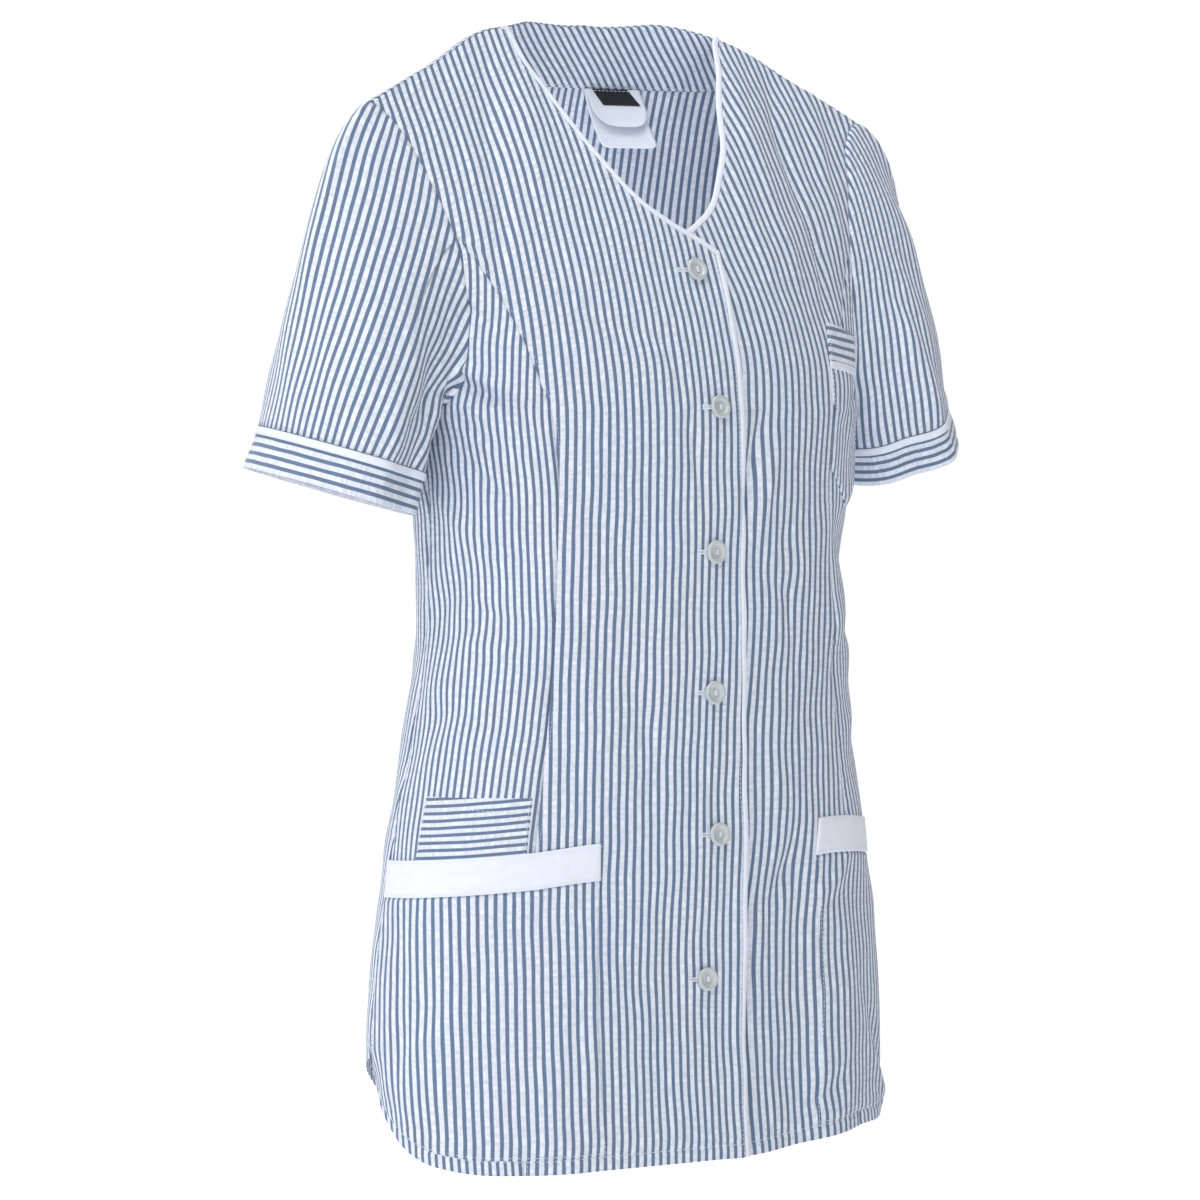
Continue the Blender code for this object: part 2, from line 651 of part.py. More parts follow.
def add_binding(side, points, normals):
    """Add the white binding along the neckline and the front edge of one front."""
    line = points[::-1, 0]
    normal = normals[::-1, 0]
    steps = unit(np.diff(line, axis=0))
    before = np.vstack([steps[:1], steps])
    after = np.vstack([steps, steps[-1:]])
    first = unit(np.cross(before, normal))
    second = unit(np.cross(after, normal))
    inward = points[::-1, 1] - line
    first *= -np.sign((first * inward).sum(axis=1, keepdims=True))
    second *= -np.sign((second * inward).sum(axis=1, keepdims=True))
    away = unit(first + second)
    away /= np.maximum((away * first).sum(axis=1, keepdims=True), 0.6)
    near = line + away * SEAM_GAP
    far = line + away * (SEAM_GAP + BINDING_WIDTH)
    near[0] += steps[0] * 0.0006
    far[0] += steps[0] * 0.0034
    grid = np.stack([near, far], axis=1)
    around = np.stack([normal, normal], axis=1)
    bulge = WALL / 2.0 + 0.00035
    add_slab("edge_binding_" + NAMES[side], grid + around * bulge,
             grid - around * WALL / 2.0, PLAIN)


# Inner edge of each hip pocket in degrees, at its foot, its band and its top.
HIP_EDGE = {-1: (25.3, 28.3, 28.9), 1: (26.5, 28.8, 30.6)}
PHONE_EDGE = {"inner": 46.3, "outer": 83.2}


def spread(points, normals, rows, columns):
    """Points and normals of a patch from its rows and the columns it has on each row."""
    columns = np.array(columns, float)
    grid_rows = np.repeat(np.array(rows, float)[:, None], columns.shape[1], axis=1)
    return between(points, grid_rows, columns), unit(between(normals, grid_rows, columns))


def patch_columns(starts, end):
    """Columns of a patch on each row: its own edge, then those of the panel, then its end."""
    first = int(math.floor(min(starts))) + 1
    last = int(math.ceil(end)) - 1
    return [[start] + [max(k, start + 0.3 * (k - first + 1)) for k in range(first, last + 1)]
            + [end] for start in starts]


def add_hip_pocket(side, points, normals):
    """Add the patch, the white band and, on the right, the phone pocket behind it."""
    last = points.shape[1] - 1.15
    rows = list(range(POCKET_FOOT_ROW, BAND_FOOT_ROW + 1))
    foot, waist, top = HIP_EDGE[side]
    turns = np.interp(rows, (rows[0], rows[-1]), (foot, waist))
    columns = patch_columns([column_at(row, turn) for row, turn in zip(rows, turns)], last)
    lift = FIRST_LIFT
    if side < 0:
        lift = FIRST_LIFT + PHONE_THICK + LAYER_GAP
    over = np.full(len(rows), FIRST_LIFT)
    over[-1] = lift
    place, normal = spread(points, normals, rows, columns)
    raised = place + normal * over[:, None, None]
    add_slab("lower_pocket_" + NAMES[side], raised + normal * PATCH_THICK, raised, STRIPED)
    rows = [BAND_FOOT_ROW, BAND_TOP_ROW]
    columns = patch_columns([column_at(row, turn) for row, turn in zip(rows, (waist, top))], last)
    place, normal = spread(points, normals, rows, columns)
    place[0] += unit(place[1] - place[0]) * SEAM_GAP
    add_layer("pocket_band_" + NAMES[side], place, normal, lift, BAND_THICK + 0.0003, PLAIN)
    if side > 0:
        return
    rows = [BAND_FOOT_ROW + 0.5, BAND_TOP_ROW, BAND_TOP_ROW + 1, PHONE_TOP_ROW]
    end = column_at(BAND_TOP_ROW, PHONE_EDGE["outer"])
    columns = patch_columns([column_at(row, PHONE_EDGE["inner"]) for row in rows], end)
    place, normal = spread(points, normals, rows, columns)
    add_layer("phone_pocket", place, normal, FIRST_LIFT, PHONE_THICK, STRIPED)


# Levels of the chest pocket, and its edges in degrees.
CHEST_TOP = 0.295
CHEST_BAND = 0.196
CHEST_FOOT = -0.038
CHEST_POINT = -0.062
CHEST_LIFT = 0.0004
CHEST_EDGES = {
    "level": (-0.07, 0.0, 0.10, 0.30),
    "inner": (42.0, 40.8, 39.3, 39.2),
    "outer": (67.5, 66.0, 62.0, 57.0),
}


def add_chest_pocket(points, normals):
    """Add the chest pocket of the wearer's left with its crosswise band and white tape."""
    share = (0.0, 0.18, 0.36, 0.52, 0.68, 0.84, 1.0)

    def patch(levels):
        rows = [row_at(level) for level in levels]
        columns = []
        for row, level in zip(rows, levels):
            inner = float(eased(CHEST_EDGES["level"], CHEST_EDGES["inner"], level))
            outer = float(eased(CHEST_EDGES["level"], CHEST_EDGES["outer"], level))
            columns.append([column_at(row, inner + (outer - inner) * t) for t in share])
        return spread(points, normals, rows, columns)

    body = [CHEST_POINT, -0.030, 0.0, 0.05, 0.10, 0.15, CHEST_BAND]
    place, normal = patch(body)
    foot = patch([CHEST_FOOT])[0][0]
    rise = np.clip(np.abs(np.array(share) - 0.5) * 2.0 - 0.10, 0.0, 1.0) / 0.90
    place[0] += (foot - place[0]) * rise[:, None]
    add_layer("chest_pocket", place, normal, FIRST_LIFT + CHEST_LIFT, PATCH_THICK, STRIPED)
    place, normal = patch([CHEST_BAND, 0.245, CHEST_TOP])
    up = unit(place[1] - place[0])
    tape = np.stack([place[0] - up * TAPE_DEPTH * 0.7, place[0] + up * TAPE_DEPTH * 0.3])
    place[0] += up * SEAM_GAP
    add_layer("chest_pocket_band", place, normal, FIRST_LIFT + CHEST_LIFT, PATCH_THICK, STRIPED)
    around = np.stack([normal[0], normal[0]])
    lift = FIRST_LIFT + CHEST_LIFT + PATCH_THICK + SEAM_GAP
    add_layer("chest_pocket_tape", tape, around, lift, 0.0008, PLAIN)


BUTTONS = {
    "z": (-0.160, -0.249, -0.3425, -0.4335, -0.5255, -0.6190),
    "x": (-0.0005, 0.001, -0.003, -0.0045, -0.0015, -0.0085),
}
BUTTON_PROFILE = {
    "radius": (0.25, 0.55, 0.66, 0.86, 1.0, 1.0, 0.80),
    "height": (0.55, 0.58, 0.78, 1.0, 0.70, 0.30, 0.0),
}
BUTTON_SIDES = 16
LABEL_X = 0.036
FACING_FOOT = -0.0335


def add_button(number, place, normal):
    """Add a flat button with a raised rim and a dished middle."""
    ahead = unit(normal)
    across = unit(np.cross(np.array([0.0, 0.0, 1.0]), ahead))
    up = np.cross(ahead, across)
    turns = np.arange(BUTTON_SIDES) * 2.0 * math.pi / BUTTON_SIDES
    points = [place + ahead * BUTTON_THICK * BUTTON_PROFILE["height"][0]]
    for radius, height in zip(BUTTON_PROFILE["radius"], BUTTON_PROFILE["height"]):
        ring = np.outer(np.cos(turns), across) + np.outer(np.sin(turns), up)
        points += list(place + ring * radius * BUTTON_RADIUS + ahead * height * BUTTON_THICK)
    points.append(place)
    faces = []
    rings = len(BUTTON_PROFILE["radius"])
    for j in range(BUTTON_SIDES):
        k = (j + 1) % BUTTON_SIDES
        faces.append((0, 1 + j, 1 + k))
        for i in range(rings - 1):
            a = 1 + i * BUTTON_SIDES
            b = a + BUTTON_SIDES
            faces.append((a + j, b + j, b + k, a + k))
        a = 1 + (rings - 1) * BUTTON_SIDES
        faces.append((a + k, a + j, len(points) - 1))
    add_solid("button_" + str(number), points, faces, BUTTON)


def add_labels(foot):
    """Add the bare care label and the bare dark label at the foot of the back neck facing."""
    ahead = np.array([0.0, -1.0, 0.0])
    drop = (0.0, 0.008, 0.018, 0.029, 0.040)
    lean = (0.0, 0.0022, 0.0075, 0.0135, 0.0185)
    spots = LABEL_X + np.array((-0.021, -0.007, 0.007, 0.021))
    top = np.stack([spots, np.interp(spots, foot[:, 0], foot[:, 1]),
                    np.interp(spots, foot[:, 0], foot[:, 2])], axis=1)
    top += ahead * (SEAM_GAP + 0.0002)
    grid = np.array([top + ahead * a + np.array([0.0, 0.0, -d]) for d, a in zip(drop, lean)])[::-1]
    normal = unit(np.cross(grid[:, 1:2] - grid[:, 0:1],
                           np.gradient(grid, axis=0)[:, 0:1]))
    normal = np.repeat(normal, len(spots), axis=1)
    normal *= np.sign((normal * ahead).sum(axis=-1, keepdims=True))
    add_layer("care_label", grid, normal, 0.0, 0.0010, PLAIN)
    rows = np.array([[2.62, 3.25, 3.9]]).T
    columns = np.array([[0.45, 1.0, 2.0, 2.35]])
    spot = between(grid, rows, columns)
    around = unit(between(normal, rows, columns))
    add_layer("size_label", spot, around, 0.0010 + SEAM_GAP, 0.0009, INKY)


def build():
    """Build every piece of the tunic."""
    clear_scene()
    fronts = {side: front_lattice(side) for side in (-1, 1)}
    sides = {side: side_lattice(side) for side in (-1, 1)}
    back = back_lattice()
    share_shoulder(fronts, back)
    back_vectors = back[1].copy()
    for side in (-1, 1):
        ring, ring_normal = armhole_ring(side, fronts[side], sides[side], back)
        rings = sleeve_lattice(side, ring, ring_normal)
        normals = tube_normals(rings, side)
        mitre = unit(ring_normal + normals[0])
        mitre /= np.maximum((mitre * normals[0]).sum(axis=1, keepdims=True), 0.62)
        front_vectors = fronts[side][1].copy()
        side_vectors = sides[side][1].copy()
        count = LAST_ROW - FIRST_ARCH
        column = len(BACK_COLUMNS) - 1 if side > 0 else 0
        for k, vector in enumerate(mitre):
            row = LAST_ROW - k if k <= count else FIRST_ARCH + k - count
            if k <= count and row > TIP_ROW:
                front_vectors[row, -1] = vector
            elif k <= count:
                side_vectors[row, -1] = vector
            if k >= count or k == 0:
                back_row = LAST_ROW if k == 0 else row
                back_vectors[back_row, column] = vector
        add_panel("front_" + NAMES[side], fronts[side][0], front_vectors, STRIPED,
                  ("last", "top"))
        add_panel("side_front_" + NAMES[side], sides[side][0], side_vectors, STRIPED,
                  ("first", "last", "top"))
        add_binding(side, *fronts[side])
        together = tuple(np.concatenate([fronts[side][g][: TIP_ROW + 1], sides[side][g][:, 1:]],
                                        axis=1) for g in (0, 1))
        add_hip_pocket(side, *together)
        if side > 0:
            add_chest_pocket(*together)
        vectors = normals.copy()
        vectors[0] = mitre
        moved = rings.copy()
        moved[0] += unit(rings[1] - rings[0]) * SEAM_GAP / 2.0
        axis = sleeve_frame(side)[2]
        moved[-1] -= axis * SEAM_GAP / 2.0
        add_slab("sleeve_" + NAMES[side], moved + vectors * WALL / 2.0,
                 moved - vectors * WALL / 2.0, STRIPED, wrap=True)
        flat = np.cross(np.roll(rings[-1], -1, axis=0) - np.roll(rings[-1], 1, axis=0), axis)
        flat = unit(flat)
        middle = rings[-1].mean(axis=0)
        flat *= np.sign((flat * (rings[-1] - middle)).sum(axis=1, keepdims=True))
        cuff = np.stack([rings[-1] + axis * (SEAM_GAP / 2.0),
                         rings[-1] + axis * TAPE_DEPTH,
                         rings[-1] + axis * (CUFF_DEPTH + TAPE_DEPTH) + flat * CUFF_FLARE])
        around = np.stack([flat, flat, flat])
        add_slab("cuff_" + NAMES[side], cuff + around * WALL / 2.0,
                 cuff - around * WALL / 2.0, STRIPED, wrap=True)
        tape = np.stack([rings[-1] + axis * 0.0004, rings[-1] + axis * TAPE_DEPTH])
        add_layer("cuff_tape_" + NAMES[side], tape, around[:2], FIRST_LIFT - 0.00015, 0.0008,
                  PLAIN, wrap=True)
    add_panel("back", back[0], back_vectors, STRIPED, ("first", "last", "top"))
    neck = [float(j) for j, c in enumerate(BACK_COLUMNS) if abs(c) <= 0.57]
    feet = [float(np.interp(FACING_FOOT, back[0][-8:, int(j), 2], range(LAST_ROW - 7, LAST_ROW + 1)))
            for j in neck]
    rows = np.array([[LAST_ROW - (LAST_ROW - foot) * share for foot in feet]
                     for share in (1.0, 0.75, 0.5, 0.25, 0.0)])
    place = between(back[0], rows, np.array([neck] * len(rows)))
    normal = unit(between(back[1], rows, np.array([neck] * len(rows))))
    place[-1] += unit(place[-2] - place[-1]) * 0.0012
    inner = -(WALL / 2.0 + LAYER_GAP)
    outer_face = place + normal * inner
    inner_face = place + normal * (inner - 0.0010)
    add_slab("back_neck_facing", outer_face, inner_face, STRIPED)
    add_labels(inner_face[0])
    for number, (height, x) in enumerate(zip(BUTTONS["z"], BUTTONS["x"]), start=1):
        level = height - BUST_Z
        if level > 0.0:
            levels = np.linspace(0.0, 1.0, 400)
            heights = form(np.zeros(400), levels)[:, 2]
            level = float(np.interp(height, heights, levels))
        turn = float(angle_at(x / 0.165))
        centre = form(turn, level)
        normal = form_normal(turn, level)
        lift = LAP_LIFT + WALL / 2.0 + SEAM_GAP + 0.0002
        add_button(number, centre + normal * lift, normal)


build()
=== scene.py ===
"""Looks of a short-sleeved striped work tunic with a V neck, as worn and hollow.

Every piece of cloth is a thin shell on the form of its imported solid, with its
creases, puckers, stitches and buttons added.  The torso is one smooth form: an
angle round the body (0 at the centre front, positive to the wearer's left) and
a level, below 0 a depth in metres under the bust line and from 0 to 1 the climb
to the shoulder seam.  The UV map of each cloth is its flat cut in metres, with
the stripes along V.
"""
import logging
import math
from dataclasses import dataclass, field
from enum import Enum
from functools import cache
from typing import Optional, Sequence

import bmesh
import bpy
import numpy as np
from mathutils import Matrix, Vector


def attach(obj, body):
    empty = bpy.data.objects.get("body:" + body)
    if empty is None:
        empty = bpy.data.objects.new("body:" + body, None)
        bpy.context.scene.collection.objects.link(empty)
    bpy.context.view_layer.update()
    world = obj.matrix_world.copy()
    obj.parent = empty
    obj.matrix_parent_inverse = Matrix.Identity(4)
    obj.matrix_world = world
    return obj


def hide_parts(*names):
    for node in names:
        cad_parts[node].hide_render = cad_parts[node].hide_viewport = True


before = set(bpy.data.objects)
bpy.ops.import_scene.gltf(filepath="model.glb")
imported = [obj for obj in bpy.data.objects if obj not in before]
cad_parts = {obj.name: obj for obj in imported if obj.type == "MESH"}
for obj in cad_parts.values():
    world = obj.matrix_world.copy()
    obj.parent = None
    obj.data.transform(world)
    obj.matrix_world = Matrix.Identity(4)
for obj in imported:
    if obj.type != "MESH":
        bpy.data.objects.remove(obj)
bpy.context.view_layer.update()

log = logging.getLogger("tunic")
BODY = "root"

# ---------------------------------------------------------------- sizes, in metres
WALL = 0.0013
CLOTH_THICK = 0.0005
BUST_Z = -0.250
ROUNDNESS = 2.2
ARCH_FRONT = 1.24
ARCH_BACK = 2.2
RIDGE_HALF = 0.250
EDGE_LAP = 0.0195
LAP_LIFT = 0.0011
EDGE_STAND = 0.0015
VENT_TOP = -0.662
VENT_OPEN = math.radians(2.0)
CUFF_DEPTH = 0.023
CUFF_FLARE = 0.0020
TAPE_DEPTH = 0.0055
PITCH = 0.0058
HEM_DEPTH = 0.0088
NECK_COLUMN = 0.409
BACK_NECK_DEPTH = 0.76


class Side(Enum):
    """A side of the wearer."""

    RIGHT = -1
    LEFT = 1

    @property
    def word(self) -> str:
        """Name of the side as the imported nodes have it."""
        return self.name.lower()


class Border(Enum):
    """What happens at a border of a piece of cloth."""

    SEAM = "seam"
    HEM = "hem"
    FREE = "free"


def unit(vectors: np.ndarray) -> np.ndarray:
    """Vectors scaled to length one."""
    return vectors / np.maximum(np.linalg.norm(vectors, axis=-1, keepdims=True), 1e-12)


def smoothstep(t: np.ndarray) -> np.ndarray:
    """Soft ramp from 0 to 1."""
    t = np.clip(t, 0.0, 1.0)
    return t * t * (3.0 - 2.0 * t)


@dataclass(frozen=True)
class Curve:
    """Smooth curve through a table, without overshoot."""

    keys: Sequence[float]
    values: Sequence[float]

    def __call__(self, at: np.ndarray) -> np.ndarray:
        """Value of the curve.

        Args:
            at: where to read it.

        Returns:
            The values there.
        """
        x = np.asarray(self.keys, float)
        v = np.asarray(self.values, float)
        at = np.clip(np.asarray(at, float), x[0], x[-1])
        step = np.diff(x)
        rise = np.diff(v) / step
        slope = np.zeros(len(x))
        same = rise[:-1] * rise[1:] > 0
        total = np.where(same, rise[:-1] + rise[1:], 1.0)
        slope[1:-1] = np.where(same, 2.0 * rise[:-1] * rise[1:] / total, 0.0)
        slope[0] = rise[0]
        slope[-1] = rise[-1]
        i = np.clip(np.searchsorted(x, at, side="right") - 1, 0, len(x) - 2)
        t = (at - x[i]) / step[i]
        h01 = t * t * (3.0 - 2.0 * t)
        near = step[i] * (slope[i] * t * (1.0 - t) ** 2 + slope[i + 1] * t * t * (t - 1.0))
        return v[i] * (1.0 - h01) + v[i + 1] * h01 + near


# ---------------------------------------------------------------- tables of the form
SECTION_Z = (-0.760, -0.690, -0.620, -0.540, -0.465, -0.390, -0.320, -0.250)
HALF_WIDTH = Curve(SECTION_Z, (0.194, 0.194, 0.191, 0.180, 0.1665, 0.1575, 0.1595, 0.169))
MIDDLE = Curve(SECTION_Z, (-0.018, -0.018, -0.018, -0.019, -0.021, -0.024, -0.025, -0.023))
FRONT_DEPTH = Curve(SECTION_Z, (0.099, 0.096, 0.095, 0.096, 0.093, 0.090, 0.089, 0.0895))
BACK_DEPTH = Curve(SECTION_Z, (0.099, 0.100, 0.100, 0.099, 0.097, 0.096, 0.098, 0.102))
CHEST = Curve((0.0, 0.10, 0.212, 0.34, 0.43, 0.528, 0.62, 0.728, 0.84, 0.93, 1.0),
              (1.0, 0.972, 0.912, 0.822, 0.748, 0.648, 0.535, 0.385, 0.222, 0.090, 0.0))
RIDGE_X = (0.0, 0.050, 0.093, 0.150, 0.205, 0.260)
RIDGE_Z = Curve(RIDGE_X, (-0.003, -0.003, -0.0045, -0.0285, -0.056, -0.088))
RIDGE_RISE = Curve(RIDGE_X, (0.0262, 0.0205, 0.0, 0.0, 0.0, 0.0))
RIDGE_Y = Curve(RIDGE_X, (0.0, 0.0, 0.0, -0.004, -0.010, -0.014))
NECK_TRIM = Curve((-0.150, -0.125, -0.105, -0.0907, -0.0812, -0.0714, -0.0616, -0.0509, -0.0405,
                   -0.0302, -0.020, -0.010, 0.0, 0.010, 0.020, 0.030, 0.0405, 0.051, 0.0617, 0.0716,
                   0.0815, 0.0912, 0.105, 0.115),
                  (0.0, 0.0016, 0.0032, 0.0034, 0.0022, 0.0, -0.0024, -0.0027, -0.0007, 0.0012,
                   0.0023, 0.0027, 0.0026, 0.0034, 0.0038, 0.0036, 0.0026, 0.0017, 0.0024, 0.0042,
                   0.0044, 0.0022, 0.0004, 0.0))
ARMHOLE_LEVEL = (0.0, 0.015, 0.05, 0.10, 0.16, 0.225, 0.345, 0.44, 0.504, 0.62, 0.77, 1.0)
ARMHOLE = {
    "front": Curve(ARMHOLE_LEVEL, (90.0, 82.0, 75.5, 71.5, 68.4, 65.3, 60.0, 56.2, 53.9, 51.4,
                                   49.3, 51.3)),
    "back": Curve(ARMHOLE_LEVEL, (90.0, 99.0, 106.5, 112.0, 116.0, 119.0, 122.5, 124.5, 125.5,
                                  127.0, 128.4, 128.7)),
}
NECK = Curve((0.390, 0.415, 0.436, 0.475, 0.539, 0.621, 0.722, 0.800, 0.950, 1.0),
             (-0.0195, -0.0040, 0.0105, 0.0305, 0.0475, 0.0625, 0.0745, 0.0822, 0.0878, 0.0910))
PRINCESS = Curve((-0.51, -0.268, -0.15, -0.075, -0.03, 0.0, 0.11, 0.234, 0.346, 0.492),
                 (43.6, 44.1, 44.2, 42.8, 41.9, 41.9, 43.9, 46.4, 49.3, 53.7))
SIDE_SEAM = Curve((-0.51, -0.30, -0.16, -0.06, 0.0), (101.5, 101.0, 99.0, 94.5, 90.0))
HEM_FRONT = Curve((0.0, 22.0, 41.0, 52.0, 63.5, 70.6, 77.4, 84.4, 90.6, 95.0, 99.5),
                  (-0.7365, -0.7385, -0.7406, -0.7402, -0.7366, -0.7332, -0.7274, -0.7174,
                   -0.7047, -0.6925, -0.6790))
HEM_BACK = Curve((103.5, 112.0, 120.0, 128.0, 138.0, 150.0, 165.0, 180.0),
                 (-0.669, -0.674, -0.682, -0.694, -0.712, -0.728, -0.738, -0.742))
TILT_RISE = Curve((0.0, 27.0, 45.0, 64.0, 90.0, 101.0, 160.0),
                  (0.0070, 0.0062, 0.0005, -0.0033, -0.0060, -0.0065, 0.0))
TILT_SHARE = Curve((-0.662, -0.600, -0.535, -0.4995), (0.0, 1.0, 1.0, 0.0))
LEFT_RISE = Curve((-0.765, -0.520, -0.440, -0.340), (0.017, 0.0168, 0.009, 0.0))

BODY_ROWS = (-0.280, -0.312, -0.346, -0.381, -0.417, -0.450, -0.476, -0.4995,
             -0.517, -0.535, -0.559, -0.593, -0.627, -0.662)
VENT_ROWS = (0.30, 0.60, 0.88, 1.0)
ARCH_ROWS = (0.0, 0.015, 0.05, 0.10, 0.16, 0.225, 0.295, 0.345, 0.390, 0.415, 0.445, 0.492,
             0.504, 0.56, 0.63, 0.70, 0.775, 0.85, 0.925, 1.0)
ROWS = ([("vent", k) for k in reversed(VENT_ROWS)]
        + [("level", z - BUST_Z) for z in reversed(BODY_ROWS)]
        + [("level", h) for h in ARCH_ROWS])
FIRST_ARCH = len(VENT_ROWS) + len(BODY_ROWS)
TIP_ROW = FIRST_ARCH + ARCH_ROWS.index(0.492)
LAST_ROW = len(ROWS) - 1
BAND_FOOT_ROW = FIRST_ARCH - 1 - BODY_ROWS.index(-0.559)
BAND_TOP_ROW = FIRST_ARCH - 1 - BODY_ROWS.index(-0.535)
PHONE_TOP_ROW = FIRST_ARCH - 1 - BODY_ROWS.index(-0.4995)
FRONT_COLUMNS = (0.0, 0.08, 0.18, 0.30, 0.42, 0.54, 0.66, 0.77, 0.885, 1.0)
SIDE_COLUMNS = (0.0, 0.17, 0.34, 0.51, 0.67, 0.82, 0.93, 1.0)
BACK_COLUMNS = (-1.0, -0.94, -0.84, -0.72, -0.57, -0.409, -0.28, -0.14, 0.0,
                0.14, 0.28, 0.409, 0.57, 0.72, 0.84, 0.94, 1.0)


@dataclass(frozen=True)
class Crease:
    """Soft trough or ridge along a path of (degrees round the body, height)."""

    side: int
    path: tuple
    half: float
    depth: float
    taper: float

    def push(self, theta: np.ndarray, z: np.ndarray) -> np.ndarray:
        """Outward offset of the cloth.

        Args:
            theta: signed angles round the body.
            z: heights.

        Returns:
            The offsets in metres.
        """
        spot = np.stack([np.abs(theta) * 0.17, z], axis=-1)
        path = np.array([(math.radians(a) * 0.17, h) for a, h in self.path])
        steps = np.linalg.norm(np.diff(path, axis=0), axis=1)
        start = np.concatenate([[0.0], np.cumsum(steps)])
        best = np.full(theta.shape, 1e9)
        along = np.zeros(theta.shape)
        for i, step in enumerate(steps):
            line = path[i + 1] - path[i]
            t = np.clip(((spot - path[i]) @ line) / (line @ line), 0.0, 1.0)
            away = np.linalg.norm(spot - (path[i] + t[..., None] * line), axis=-1)
            nearer = away < best
            best = np.where(nearer, away, best)
            along = np.where(nearer, (start[i] + t * step) / start[-1], along)
        fade = np.sin(np.pi * np.clip(along, 0.02, 0.98)) ** self.taper if self.taper else 1.0
        uneven = 1.0 + 0.18 * np.sin(9.0 * along + 40.0 * self.path[0][1])
        depth = self.depth * fade * (uneven if self.taper else 1.0)
        own = np.sign(theta) == self.side
        return np.where(own, depth * np.exp(-(best / self.half) ** 2), 0.0)


def creases(*rows: tuple) -> tuple:
    """Creases from rows of numbers.

    Args:
        rows: side, half width and depth (0.1 mm), taper, then degrees and height (0.1 mm) in turn.

    Returns:
        The creases.
    """
    return tuple(Crease(side, tuple(zip(path[::2], [z / 10000 for z in path[1::2]])),
                        half / 10000, depth / 10000, taper)
                 for side, half, depth, taper, *path in rows)


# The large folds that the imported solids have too.
FOLDS = creases(
    (-1, 200, -35, 0.0, 50, -3350, 86, -3750),
    (-1, 220, 30, 0.0, 48, -3850, 88, -4300),
    (1, 200, -35, 0.0, 50, -3300, 86, -3800),
    (1, 220, 30, 0.0, 48, -3900, 88, -4250),
    (1, 180, -40, 0.0, 22, -5600, 20, -7600),
    (1, 200, 35, 0.0, 36, -6000, 34, -7600),
    (-1, 220, 30, 0.0, 30, -6200, 34, -7600),
    (-1, 260, -40, 0.0, 125, -3300, 150, -4200),
    (1, 260, -40, 0.0, 125, -3300, 150, -4200),
    (-1, 260, 40, 0.0, 150, -5600, 146, -7600),
    (1, 260, 40, 0.0, 150, -5600, 146, -7600),
)
